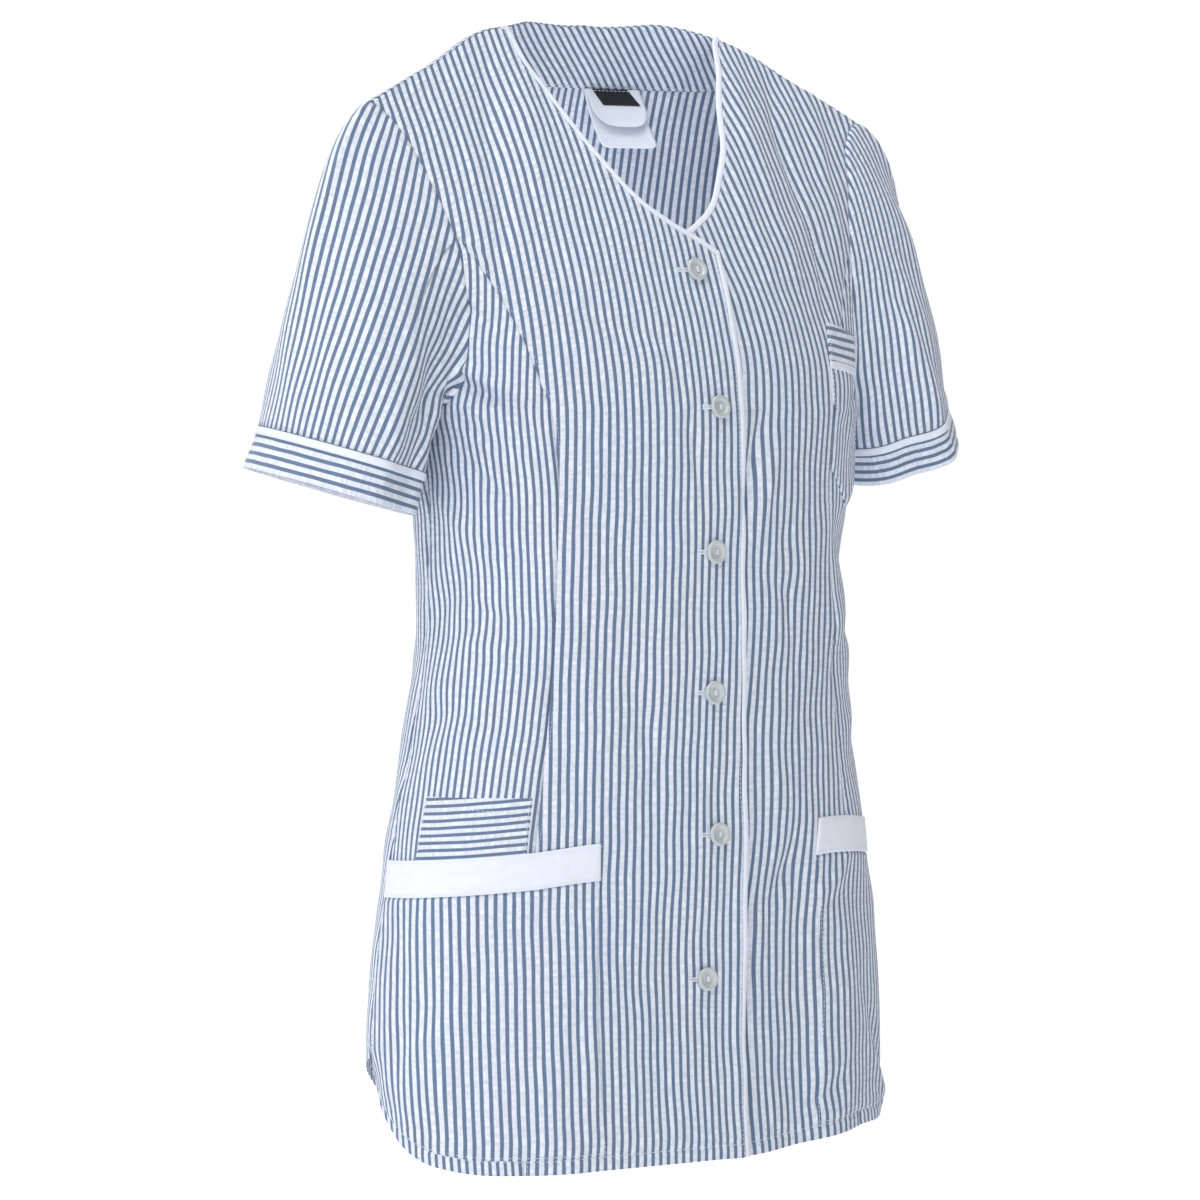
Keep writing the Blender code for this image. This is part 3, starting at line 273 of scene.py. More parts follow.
# The smaller creases of the worn cloth: drags at bust and armhole, waist, hip, hem, back.
CREASES = creases(
    (-1, 52, 34, 0.6, 78, -2080, 66, -2268, 56, -2345, 48.2, -2435, 43.8, -2563),
    (-1, 56, -44, 0.6, 82, -2220, 70.5, -2317, 60, -2423, 50.8, -2513, 45.5, -2700),
    (-1, 58, 30, 0.6, 80, -2340, 68, -2470, 57.5, -2590, 49.8, -2801, 48.5, -2976),
    (-1, 65, -22, 0.6, 86, -2620, 68, -2850, 50, -3220),
    (-1, 60, -18, 0.6, 70, -1400, 62, -1750, 58, -2150),
    (-1, 100, -20, 0.6, 88, -4000, 66, -3880, 50, -3980),
    (-1, 110, -22, 0.6, 90, -4500, 70, -4460, 50, -4620),
    (-1, 85, 18, 0.6, 92, -3000, 74, -3300, 56, -3520),
    (-1, 120, -14, 0.6, 40, -3000, 26, -3450, 20, -4000),
    (-1, 52, -16, 0.6, 13.5, -1988, 11.2, -2187, 9, -2390),
    (-1, 55, -18, 0.6, 4.2, -2409, 7.3, -2638, 5.5, -2888, 3.5, -3214),
    (-1, 70, -16, 0.6, 20.8, -4380, 16.5, -4768, 17.2, -5207),
    (-1, 80, 16, 0.6, 37.5, -5520, 32.8, -5909, 33.2, -6347),
    (-1, 85, -18, 0.6, 34, -5600, 31, -6400, 35, -7350),
    (-1, 90, 14, 0.6, 24, -6000, 20, -6800, 23, -7400),
    (-1, 100, -14, 0.6, 14, -5200, 11, -6200, 13, -7400),
    (-1, 140, 16, 0.6, 60, -6000, 66, -6800, 60, -7350),
    (-1, 120, -18, 0.6, 84, -5800, 80, -6600, 86, -7200),
    (1, 52, -42, 0.8, 15.5, -2513, 12, -2701, 9.6, -2914, 8.6, -3127, 9.4, -3360),
    (1, 58, 22, 0.6, 19.8, -2625, 16.8, -2838, 14.6, -3089, 14.2, -3350),
    (1, 70, -16, 0.6, 22.2, -3214, 21.5, -3477, 25, -3741),
    (1, 80, -30, 0.6, 76, -2050, 60, -2350, 46, -2620),
    (1, 85, 22, 0.6, 84, -2620, 66, -2900, 46, -3250),
    (1, 110, -22, 0.6, 88, -4000, 64, -3920, 44, -4100),
    (1, 110, 20, 0.6, 92, -4550, 66, -4460, 46, -4660),
    (1, 80, 16, 0.6, 28, -5200, 27, -6200, 29, -7450),
    (1, 90, -15, 0.6, 12, -4800, 14, -6000, 12, -7450),
    (1, 90, -40, 0.6, 46, -6400, 62, -6900, 82, -7220),
    (1, 80, 34, 0.6, 50, -6720, 66, -7080, 80, -7280),
    (-1, 56, -36, 0.6, 25, -160, 29.5, -460, 36, -900, 41, -1290, 49, -1680),
    (-1, 70, 24, 0.6, 20, -220, 24.5, -620, 29, -1090),
    (-1, 34, -16, 0.6, 55, -1400, 51.5, -1460, 48, -1560),
    (-1, 36, -18, 0.6, 63, -1800, 57.5, -1890, 51.5, -2030),
    (-1, 42, -22, 0.6, 79, -2420, 66, -2450, 57, -2580, 47.5, -2760),
    (-1, 45, 18, 0.6, 81, -2525, 70, -2610, 61, -2760, 52.5, -2900),
    (-1, 40, -13, 0.6, 72, -3340, 61, -3415, 52, -3480),
    (-1, 45, -15, 0.6, 77.5, -3730, 61, -3830, 48, -3870),
    (-1, 50, 12, 0.6, 74, -3990, 58.5, -4050, 46.5, -4170),
    (-1, 100, -14, 0.6, 32, -3990, 21, -4380, 18, -4760),
    (-1, 90, -12, 0.6, 35, -1810, 22, -1990, 5, -2080),
    (1, 80, -20, 0.6, 13.5, -3480, 24, -3740, 27.5, -4270),
    (1, 46, -26, 0.5, 9.8, -5350, 8.6, -5960, 7.8, -6400, 7.6, -7000, 7.5, -7520),
    (1, 66, -26, 0.6, 24, -5180, 21.2, -5445, 16.2, -5710, 14.3, -6040),
    (1, 60, 20, 0.6, 44, -5380, 35.8, -5595, 26.3, -5760),
    (1, 90, 16, 0.6, 19.5, -4390, 17, -4790, 19, -5240),
    (1, 70, -22, 0.6, 37, -6800, 32, -6970, 23, -7090),
    (1, 64, 26, 0.6, 23.5, -140, 22, -560, 26, -1170, 30, -1770),
    (1, 56, -42, 0.6, 30.8, -198, 30.5, -568, 35, -1122, 39.2, -1460, 39.8, -1840),
    (1, 58, 30, 0.6, 38, -300, 43.2, -1009, 48.8, -1417),
    (1, 70, 18, 0.6, 16, -600, 17.5, -1150, 21, -1650),
    (-1, 130, -26, 0.6, 170, -3000, 150, -3450, 120, -3720),
    (1, 130, -24, 0.6, 170, -3050, 150, -3520, 118, -3660),
    (-1, 120, 24, 0.6, 176, -4000, 150, -3920, 116, -4080),
    (1, 120, 22, 0.6, 176, -3920, 150, -4000, 116, -4020),
    (-1, 120, -22, 0.6, 128, -1200, 142, -2000, 158, -2620),
    (1, 120, -22, 0.6, 128, -1150, 144, -2050, 160, -2700),
    (-1, 140, -22, 0.6, 168, -5200, 166, -6300, 170, -7450),
    (1, 140, -22, 0.6, 166, -5100, 168, -6400, 164, -7450),
    (-1, 130, -22, 0.6, 130, -5000, 126, -6000, 130, -7000),
    (1, 130, -22, 0.6, 128, -4900, 126, -5900, 132, -7000),
)
# How the stripes run on the worn cloth: their scale, then heights on the flat cut in cm and the
# drift there in 0.1 mm.
GRAIN = {
    "front_right": (1.0,
        (-2, 0, 3, 10, 15, 20, 30, 35, 40, 45, 50, 55, 60, 66, 75),
        (15, 0, -20, -57, -76, -83, -73, -56, -18, 42, 114, 199, 307, 451, 649)),
    "side_front_right": (1.18,
        (-8, -3, 0, 3, 6, 9, 12, 15, 18, 21, 24, 27, 30, 33, 36, 39, 42, 45, 48, 52),
        (163, 60, 0, -50, -90, -135, -170, -184, -188, -181, -181, -204, -255, -299, -327, -379,
         -425, -427, -382, -297)),
    "front_left": (0.87,
        (-5, 0, 6, 9, 12, 15, 18, 21, 24, 27, 30, 33, 36, 39, 42, 45, 48, 51, 54, 57, 60, 63, 66,
         70, 75),
        (9, 0, -13, -18, -39, -80, -111, -120, -131, -161, -188, -191, -181, -168, -146, -124, -91,
         -5, 123, 240, 341, 440, 545, 714, 954)),
    "sleeve_right": (1.0,
        (-2, 3, 7, 10, 13, 16, 19, 24),
        (8, -12, -30, -37, -31, -10, 35, 134)),
    "sleeve_left": (1.07,
        (-3, 0, 3, 6, 9, 12, 15, 24),
        (-64, 0, 93, 225, 374, 536, 711, 1217)),
}
RIPPLES = {
    "turns": (5, -7, 9, 12, -16),
    "rise": (42.0, 61.0, -88.0, 120.0, 150.0),
    "phase": (0.4, 2.1, 4.0, 1.2, 5.1),
    "height": (0.00040, 0.00035, 0.00028, 0.00020, 0.00016),
}


class Form:
    """The torso form that every piece of the body lies on."""

    @staticmethod
    def round_factor(theta: np.ndarray) -> np.ndarray:
        """Radius of the rounded unit outline at some angles."""
        n = ROUNDNESS
        return (np.abs(np.sin(theta)) ** n + np.abs(np.cos(theta)) ** n) ** (-1.0 / n)

    @staticmethod
    def angle_at(share: np.ndarray) -> np.ndarray:
        """Signed angle at which the outline reaches a signed share of its half width."""
        s = np.clip(np.abs(share), 0.0, 0.999999) ** ROUNDNESS
        return np.sign(share) * np.arctan((s / (1.0 - s)) ** (1.0 / ROUNDNESS))

    @staticmethod
    def arch_half_width(level: np.ndarray, front: np.ndarray) -> np.ndarray:
        """Half width of the form where it climbs over the shoulder.

        Args:
            level: levels from 0 to 1.
            front: whether each point is on the front.

        Returns:
            The half widths.
        """
        power = np.where(front, 2.0 / ARCH_FRONT, 2.0 / ARCH_BACK)
        up = np.sin(np.clip(level, 0.0, 1.0) * math.pi / 2.0) ** power
        base = HALF_WIDTH.values[-1]
        return base + (RIDGE_HALF - base) * up ** 2

    @staticmethod
    def relief(theta: np.ndarray, z: np.ndarray) -> np.ndarray:
        """Outward offset of the folds, the creases and the uneven cloth.

        Args:
            theta: signed angles round the body.
            z: heights.

        Returns:
            The offsets in metres.
        """
        total = np.zeros(theta.shape)
        for crease in FOLDS + CREASES:
            total += crease.push(theta, z)
        for turns, rise, phase, height in zip(*RIPPLES.values()):
            total += height * np.sin(turns * theta + rise * z + phase)
        return total

    @classmethod
    def point(cls, theta: np.ndarray, level: np.ndarray) -> np.ndarray:
        """Points on the form.

        Args:
            theta: signed angles round the body.
            level: levels of the points.

        Returns:
            Their places.
        """
        theta, level = np.broadcast_arrays(np.asarray(theta, float), np.asarray(level, float))
        front = np.abs(theta) <= math.pi / 2.0
        s = np.sin(theta) * cls.round_factor(theta)
        c = np.abs(np.cos(theta)) * cls.round_factor(theta)
        z_low = BUST_Z + np.minimum(level, 0.0)
        deep = np.where(front, FRONT_DEPTH(z_low), BACK_DEPTH(z_low))
        y_low = MIDDLE(z_low) + np.where(front, -1.0, 1.0) * deep * c
        power = np.where(front, 2.0 / ARCH_FRONT, 2.0 / ARCH_BACK)
        psi = np.clip(level, 0.0, 1.0) * math.pi / 2.0
        up = np.sin(psi) ** power
        over = np.where(front, CHEST(up), np.maximum(np.cos(psi), 0.0) ** power)
        ridge_x = np.abs(s) * RIDGE_HALF
        ridge_z = RIDGE_Z(ridge_x) + np.where(front, 0.0, RIDGE_RISE(ridge_x))
        ridge_y = RIDGE_Y(ridge_x)
        high = level > 0.0
        x = s * np.where(high, cls.arch_half_width(level, front), HALF_WIDTH(z_low))
        y = np.where(high, ridge_y + (y_low - ridge_y) * over, y_low)
        z = np.where(high, BUST_Z + (ridge_z - BUST_Z) * up, z_low)
        z = z + NECK_TRIM(x) * smoothstep((level - 0.62) / 0.38)
        push = cls.relief(theta, z)
        away = unit(np.stack([s, np.where(front, -c, c)], axis=-1))
        return np.stack([x + away[..., 0] * push, y + away[..., 1] * push, z], axis=-1)

    @classmethod
    def normal(cls, theta: np.ndarray, level: np.ndarray) -> np.ndarray:
        """Outward unit normals of the form.

        Args:
            theta: signed angles round the body.
            level: levels of the points.

        Returns:
            One normal for each point.
        """
        step = 1e-3
        level = np.asarray(level, float)
        high = np.minimum(level + step, 1.0 - 1e-6)
        low = np.minimum(level - step, 1.0 - 3.0 * step)
        close = (level > 0.0) & (level < 2.0 * step)
        low = np.where(close, level + 0.5 * step, low)
        high = np.where(close, level + 2.0 * step, high)
        theta = np.asarray(theta)
        across = cls.point(theta + step, level) - cls.point(theta - step, level)
        return unit(np.cross(across, cls.point(theta, high) - cls.point(theta, low)))


class Cut:
    """Where the rows and the seams of the torso run."""

    @staticmethod
    def row(row: float) -> tuple:
        """Kind and value of a row, also between two rows.

        Args:
            row: row number.

        Returns:
            Its kind and its value.
        """
        i = min(int(row), LAST_ROW - 1)
        share = row - i
        kind, value = ROWS[i]
        after, later = ROWS[i + 1]
        if kind == after:
            return kind, value + (later - value) * share
        return kind, value * (1.0 - share)

    @staticmethod
    def left_rise(theta: np.ndarray, z: float) -> np.ndarray:
        """Rise of a row at height z on the wearer's left side."""
        ramp = smoothstep(theta / math.radians(50.0))
        return ramp * smoothstep((math.pi - theta) / math.radians(60.0)) * LEFT_RISE(z)

    @classmethod
    def level(cls, row: float, theta: np.ndarray) -> np.ndarray:
        """Level of a row round the body.

        Args:
            row: row number.
            theta: signed angles round the body.

        Returns:
            One level for each angle.
        """
        kind, value = cls.row(row)
        turn = np.degrees(np.abs(theta))
        if kind == "vent":
            foot = np.where(turn < SIDE_SEAM.values[0], HEM_FRONT(turn), HEM_BACK(turn)) - BUST_Z
            top = VENT_TOP - BUST_Z
            return top + (foot - top) * value + cls.left_rise(theta, VENT_TOP)
        if value >= 0.0:
            return np.full(np.shape(theta), value)
        z = BUST_Z + value
        return value + TILT_RISE(turn) * TILT_SHARE(z) + cls.left_rise(theta, z)

    @classmethod
    def vent(cls, row: float) -> float:
        """Angle by which each side of the vent stands back from the side seam."""
        kind, value = cls.row(row)
        return VENT_OPEN * value if kind == "vent" else 0.0

    @classmethod
    def middle_level(cls, row: float) -> float:
        """Level of a row at the centre front, for the seam tables."""
        kind, value = cls.row(row)
        return float(cls.level(row, np.zeros(1))[0]) if kind == "vent" else value

    @classmethod
    def edge(cls, row: float) -> float:
        """Angle of the front edge or the neckline on its own side of the body.

        Args:
            row: row number.

        Returns:
            The angle.
        """
        level = cls.middle_level(row)
        if level <= NECK.keys[0]:
            half = float(HALF_WIDTH(BUST_Z + min(level, 0.0)))
            if level > 0.0:
                half = float(Form.arch_half_width(level, True))
            return float(Form.angle_at(-EDGE_LAP / half))
        return float(Form.angle_at(float(NECK(level)) / float(Form.arch_half_width(level, True))))

    @classmethod
    def side(cls, row: float) -> float:
        """Angle of the side seam."""
        return math.radians(float(SIDE_SEAM(cls.middle_level(row))))

    @classmethod
    def armhole(cls, row: float, face: str) -> float:
        """Angle of the armhole on the front or the back."""
        return math.radians(float(ARMHOLE[face](cls.middle_level(row))))

    @classmethod
    def princess(cls, row: float) -> float:
        """Angle of the shaping seam, and of the armhole above its tip.

        Args:
            row: row number.

        Returns:
            The angle.
        """
        if row <= TIP_ROW:
            return math.radians(float(PRINCESS(cls.middle_level(row))))
        if row >= TIP_ROW + 1:
            return cls.armhole(row, "front")
        start = cls.princess(TIP_ROW)
        return start + (cls.armhole(TIP_ROW + 1, "front") - start) * (row - TIP_ROW)

    @classmethod
    def side_end(cls, row: float) -> float:
        """Angle where the side front ends: the vent, the side seam or the armhole."""
        return cls.armhole(row, "front") if row >= FIRST_ARCH else cls.side(row) - cls.vent(row)

    @classmethod
    def row_at(cls, level: float) -> float:
        """Row number of a level."""
        levels = [value for _, value in ROWS[len(VENT_ROWS):]]
        return len(VENT_ROWS) + float(np.interp(level, levels, range(len(levels))))

    @classmethod
    def column_at(cls, row: float, degrees: float) -> float:
        """Column number of an angle on the joined front and side front.

        Args:
            row: row number.
            degrees: the angle.

        Returns:
            The column number.
        """
        start, seam, end = cls.edge(row), cls.princess(row), cls.side_end(row)
        spots = [start + (seam - start) * c for c in FRONT_COLUMNS]
        spots += [seam + (end - seam) * c for c in SIDE_COLUMNS[1:]]
        return float(np.interp(math.radians(degrees), spots, range(len(spots))))


def fine_rows(first: int, last: int) -> np.ndarray:
    """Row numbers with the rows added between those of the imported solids.

    Args:
        first: first row.
        last: last row.

    Returns:
        Rising row numbers.
    """
    found = []
    for i in range(first, last):
        parts = 6 if i < len(VENT_ROWS) else 9 if i < FIRST_ARCH - 1 else 5
        found += [i + k / parts for k in range(parts)]
    return np.array(found + [float(last)])


def fine_columns(count: int, parts: int) -> np.ndarray:
    """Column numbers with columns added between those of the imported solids."""
    return np.arange((count - 1) * parts + 1) / parts


def flatten(grid: np.ndarray, rounds: int = 14) -> np.ndarray:
    """Lay a lattice of points out flat with as little stretch as can be.

    Args:
        grid: rows and columns of points.
        rounds: how often to settle it.

    Returns:
        Rows and columns of flat places in metres.
    """
    rows, columns = grid.shape[:2]
    index = np.arange(rows * columns).reshape(rows, columns)
    a, b, c, d = index[:-1, :-1], index[:-1, 1:], index[1:, 1:], index[1:, :-1]
    faces = np.concatenate([np.stack([a, b, c], -1).reshape(-1, 3),
                            np.stack([a, c, d], -1).reshape(-1, 3)])
    corner = grid.reshape(-1, 3)[faces]
    first = corner[:, 1] - corner[:, 0]
    second = corner[:, 2] - corner[:, 0]
    length = np.maximum(np.linalg.norm(first, axis=1), 1e-9)
    own = np.zeros((len(faces), 3, 2))
    own[:, 1, 0] = length
    own[:, 2, 0] = (first * second).sum(axis=1) / length
    own[:, 2, 1] = np.linalg.norm(np.cross(first, second), axis=1) / length
    pairs = []
    matrix = np.zeros((rows * columns, rows * columns))
    for k in range(3):
        i, j = (k + 1) % 3, (k + 2) % 3
        one, two = own[:, i] - own[:, k], own[:, j] - own[:, k]
        area = np.maximum(np.abs(one[:, 0] * two[:, 1] - one[:, 1] * two[:, 0]), 1e-12)
        weight = np.clip((one * two).sum(axis=1) / area, 0.02, 20.0)
        pairs.append((i, j, weight))
        for p, q, sign in ((i, i, 1.0), (j, j, 1.0), (i, j, -1.0), (j, i, -1.0)):
            np.add.at(matrix, (faces[:, p], faces[:, q]), sign * weight)
    matrix[0, 0] += 1.0
    inverse = np.linalg.inv(matrix)
    across = np.linalg.norm(np.diff(grid, axis=1), axis=2)
    along = np.linalg.norm(np.diff(grid, axis=0), axis=2).mean(axis=1)
    flat = np.zeros((rows, columns, 2))
    flat[:, 1:, 0] = np.cumsum(across, axis=1)
    flat[:, :, 0] -= flat[:, columns // 2, 0][:, None]
    flat[1:, :, 1] = np.cumsum(along)[:, None]
    flat = flat.reshape(-1, 2)
    for _ in range(rounds):
        mix = np.zeros((len(faces), 2, 2))
        for i, j, weight in pairs:
            edge = flat[faces[:, i]] - flat[faces[:, j]]
            mix += weight[:, None, None] * edge[:, :, None] * (own[:, i] - own[:, j])[:, None, :]
        turn = np.arctan2(mix[:, 1, 0] - mix[:, 0, 1], mix[:, 0, 0] + mix[:, 1, 1])
        cosine, sine = np.cos(turn), np.sin(turn)
        want = np.zeros_like(flat)
        for i, j, weight in pairs:
            step = own[:, i] - own[:, j]
            moved = np.stack([cosine * step[:, 0] - sine * step[:, 1],
                              sine * step[:, 0] + cosine * step[:, 1]], axis=1) * weight[:, None]
            np.add.at(want, faces[:, i], moved)
            np.add.at(want, faces[:, j], -moved)
        flat = inverse @ want
    return flat.reshape(rows, columns, 2)


def refined(points: np.ndarray, rows: np.ndarray, columns: np.ndarray,
            flat: np.ndarray) -> np.ndarray:
    """Carry the flat cut of a coarse lattice over to the full one, smoothly in space.

    Args:
        points: rows and columns of points of the full lattice.
        rows: numbers of the coarse rows.
        columns: numbers of the coarse columns.
        flat: flat places of the coarse lattice.

    Returns:
        Flat places of the full lattice.
    """
    spots = points[np.ix_(rows, columns)].reshape(-1, points.shape[2]) * 10.0
    keep = [0]
    for i, spot in enumerate(spots):
        if np.linalg.norm(spots[keep] - spot, axis=1).min() > 0.06:
            keep.append(i)
    spots, known = spots[keep], flat.reshape(-1, 2)[keep]
    count, extra = len(keep), spots.shape[1] + 1

    def basis(at: np.ndarray) -> np.ndarray:
        """Values of the smooth basis at some points."""
        square = ((at ** 2).sum(axis=1)[:, None] + (spots ** 2).sum(axis=1)[None, :]
                  - 2.0 * at @ spots.T)
        return np.column_stack([np.maximum(square, 0.0) ** 1.5, np.ones(len(at)), at])

    matrix = np.zeros((count + extra, count + extra))
    matrix[:count] = basis(spots)
    matrix[count:, :count] = matrix[:count, count:].T
    weights = np.linalg.solve(matrix, np.vstack([known, np.zeros((extra, 2))]))
    return np.array([basis(row * 10.0) @ weights for row in points])


def grained(flat: np.ndarray, foot: tuple, head: tuple) -> np.ndarray:
    """Turn a flat cut so that a line on it runs along the stripes.

    Args:
        flat: rows and columns of flat places.
        foot: row and column where the line starts.
        head: row and column where it ends.

    Returns:
        The turned cut, with the line's start at zero.
    """
    line = flat[head] - flat[foot]
    turn = math.atan2(line[0], line[1])
    cosine, sine = math.cos(turn), math.sin(turn)
    moved = flat - flat[foot]
    return np.stack([cosine * moved[..., 0] - sine * moved[..., 1],
                     sine * moved[..., 0] + cosine * moved[..., 1]], axis=-1)


def worn_grain(flat: np.ndarray, name: str) -> np.ndarray:
    """Flat places shifted so that the stripes run as on the worn piece.

    Args:
        flat: rows and columns of flat places.
        name: name of the piece.

    Returns:
        The shifted places.
    """
    if name not in GRAIN:
        return flat
    scale, heights, drifts = GRAIN[name]
    drift = Curve([h / 100 for h in heights], [d / 10000 for d in drifts])
    return np.stack([flat[..., 0] * scale + drift(flat[..., 1]), flat[..., 1]], axis=-1)


@dataclass
class Lattice:
    """Rows and columns of points of one piece, with normals and the flat cut."""

    points: np.ndarray
    normals: np.ndarray
    rows: np.ndarray
    columns: np.ndarray
    uv: np.ndarray = field(default_factory=lambda: np.zeros((0, 0, 2)))
    relief: Optional[np.ndarray] = None
    cut: Optional[tuple] = None

    def __post_init__(self) -> None:
        """Note the size of the flat cut where it is given."""
        if self.uv.size:
            self.cut = flat_size(self.uv)

    def lay_flat(self, name: str, foot: tuple, head: tuple) -> None:
        """Give the lattice its flat cut, with a line on it along the stripes.

        Args:
            name: name of the piece.
            foot: CAD row and column where that line starts.
            head: CAD row and column where it ends.
        """
        up = runs(self.points, 0)[:, self.points.shape[1] // 2]
        over = runs(self.points, 1)[self.points.shape[0] // 3]
        i, j = even_places(up, 0.017), even_places(over, 0.013)

        def spot(at: tuple) -> tuple:
            """Place of a CAD row and column on the coarse lattice."""
            row = int(np.argmin(np.abs(self.rows[i] - at[0])))
            return row, int(np.argmin(np.abs(self.columns[j] - at[1])))

        flat = grained(flatten(self.points[np.ix_(i, j)]), spot(foot), spot(head))
        self.uv = refined(self.points, i, j, flat)
        self.cut = flat_size(self.uv)
        self.uv = worn_grain(self.uv, name)

    def at(self, row: np.ndarray, column: np.ndarray,
           grid: Optional[np.ndarray] = None) -> np.ndarray:
        """Value of the points, or of another grid, at CAD rows and columns.

        Args:
            row: row numbers.
            column: column numbers.
            grid: what to read in place of the points.

        Returns:
            One value for each place.
        """
        grid = self.points if grid is None else grid
        row, column = np.broadcast_arrays(np.asarray(row, float), np.asarray(column, float))
        row = np.interp(row, self.rows, np.arange(len(self.rows)))
        column = np.interp(column, self.columns, np.arange(len(self.columns)))
        i = np.clip(np.floor(row).astype(int), 0, grid.shape[0] - 2)
        j = np.clip(np.floor(column).astype(int), 0, grid.shape[1] - 2)
        u = (row - i)[..., None]
        v = (column - j)[..., None]
        low = grid[i, j] * (1.0 - v) + grid[i, j + 1] * v
        high = grid[i + 1, j] * (1.0 - v) + grid[i + 1, j + 1] * v
        return low * (1.0 - u) + high * u

    @classmethod
    def plain(cls, points: np.ndarray, normals: np.ndarray) -> "Lattice":
        """Lattice that is numbered by its own rows and columns, with a flat cut by arc length."""
        rows, columns = (np.arange(float(count)) for count in points.shape[:2])
        return cls(points, normals, rows, columns, arc_cut(points))

    def patch(self, rows: np.ndarray, columns: np.ndarray) -> "Lattice":
        """A smaller lattice that lies on this one, from its row and column numbers."""
        rows = rows.reshape(len(columns), -1)
        return Lattice.plain(self.at(rows, columns), unit(self.at(rows, columns, self.normals)))

    def line(self, row: np.ndarray, column: np.ndarray, lift: float) -> np.ndarray:
        """Points of a line on the cloth, lifted off its middle and riding on its relief."""
        out = 0.0 if self.relief is None else self.at(row, column, self.relief[..., None])
        return self.at(row, column) + unit(self.at(row, column, self.normals)) * (lift + out)

    def inset(self, border: str, distance: float, lift: float, start: float = 0.0,
              end: float = 1.0) -> np.ndarray:
        """Points of a line at a distance from a border.

        Args:
            border: "foot", "top", "first" or "last".
            distance: how far in from it.
            lift: how far off the middle of the cloth.
            start: share of the border where the line starts.
            end: share where it ends.

        Returns:
            The points.
        """
        sideways = border in ("first", "last")
        run = runs(self.points, 1 if sideways else 0)
        run = run if sideways else run.T
        if border in ("last", "top"):
            run = run[:, -1:] - run
        keys = self.columns if sideways else self.rows
        found = [float(np.interp(distance, r[::-1], keys[::-1]) if r[0] > r[-1]
                       else np.interp(distance, r, keys)) for r in run]
        along = self.rows if sideways else self.columns
        keep = slice(int(start * (len(along) - 1)), int(end * (len(along) - 1)) + 1)
        along, found = along[keep], np.array(found)[keep]
        return self.line(along, found, lift) if sideways else self.line(found, along, lift)

    def insets(self, borders: Sequence[str], distance: float, lift: float) -> list:
        """Lines at a distance from several borders."""
        return [self.inset(border, distance, lift) for border in borders]

    def follow(self, front: "Lattice", rows: np.ndarray, columns: np.ndarray, scale: float) -> None:
        """Match the scaled stripes of a patch to the cloth at the start of each of its rows."""
        start = front.at(rows, columns, front.uv)[:, 0]
        self.uv = self.uv * np.array([scale, 1.0]) + np.stack([start, start * 0.0], -1)[:, None]


def flat_size(flat: np.ndarray) -> tuple:
    """Width, length and area of a flat cut.

    Args:
        flat: rows and columns of flat places.

    Returns:
        The three, in metres and square metres.
    """
    size = flat.reshape(-1, 2).max(axis=0) - flat.reshape(-1, 2).min(axis=0)
    one = flat[1:, 1:] - flat[:-1, :-1]
    two = flat[1:, :-1] - flat[:-1, 1:]
    area = float(np.abs(one[..., 0] * two[..., 1] - one[..., 1] * two[..., 0]).sum() / 2.0)
    return float(size[0]), float(size[1]), area


def runs(points: np.ndarray, axis: int) -> np.ndarray:
    """Length run along an axis of a lattice, from its first row or column."""
    run = np.cumsum(np.linalg.norm(np.diff(points, axis=axis), axis=2), axis=axis)
    return np.insert(run, 0, 0.0, axis=axis)


def run_along(line: np.ndarray) -> np.ndarray:
    """Length run along a line of points."""
    return runs(line[None], 1)[0]


def arc_cut(points: np.ndarray) -> np.ndarray:
    """Flat cut of a small patch by the length along its rows and columns."""
    return np.stack([runs(points, 1), runs(points, 0)], axis=-1)


def even_places(run: np.ndarray, step: float) -> np.ndarray:
    """Numbers of the places on a line that lie about a step apart, with both ends.

    Args:
        run: length run at each place.
        step: the step.

    Returns:
        The numbers.
    """
    count = max(2, int(round((run[-1] - run[0]) / step)) + 1)
    places = np.linspace(run[0], run[-1], count)
    return np.unique([int(np.argmin(np.abs(run - at))) for at in places])


def wave(run: np.ndarray, seed: float) -> np.ndarray:
    """Uneven little wave along a seam."""
    return (np.sin(run * 757.0 + seed) + 0.7 * np.sin(run * 479.0 + 2.3 * seed)
            + 0.5 * np.sin(run * 1013.0 + 4.1 * seed)) / 2.2


def border_relief(lattice: Lattice, borders: dict, strength: float = 1.0) -> np.ndarray:
    """Offset of the cloth beside its seams and hems.

    Args:
        lattice: the piece's lattice.
        borders: what each of its borders "foot", "top", "first" and "last" is.
        strength: how strongly the cloth puckers.

    Returns:
        Outward offsets in metres.
    """
    up = runs(lattice.points, 0)
    over = runs(lattice.points, 1)
    distance = {"foot": (up, over), "top": (up[-1:] - up, over),
                "first": (over, up), "last": (over[:, -1:] - over, up)}
    total = np.zeros(up.shape)
    for number, (name, kind) in enumerate(borders.items()):
        away, along = distance[name]
        if kind == Border.SEAM:
            total -= 0.00065 * np.exp(-(away / 0.0012) ** 2)
            total += 0.00034 * strength * wave(along, number + 1.0) * np.exp(-away / 0.0085)
        elif kind == Border.HEM:
            total -= 0.00035 * np.exp(-((away - HEM_DEPTH) / 0.0011) ** 2)
            total += 0.00022 * smoothstep((HEM_DEPTH - away) / 0.003)
            near = np.exp(-((away - HEM_DEPTH) / 0.0065) ** 2)
            total += 0.00030 * strength * wave(along, number + 2.5) * near
    return total


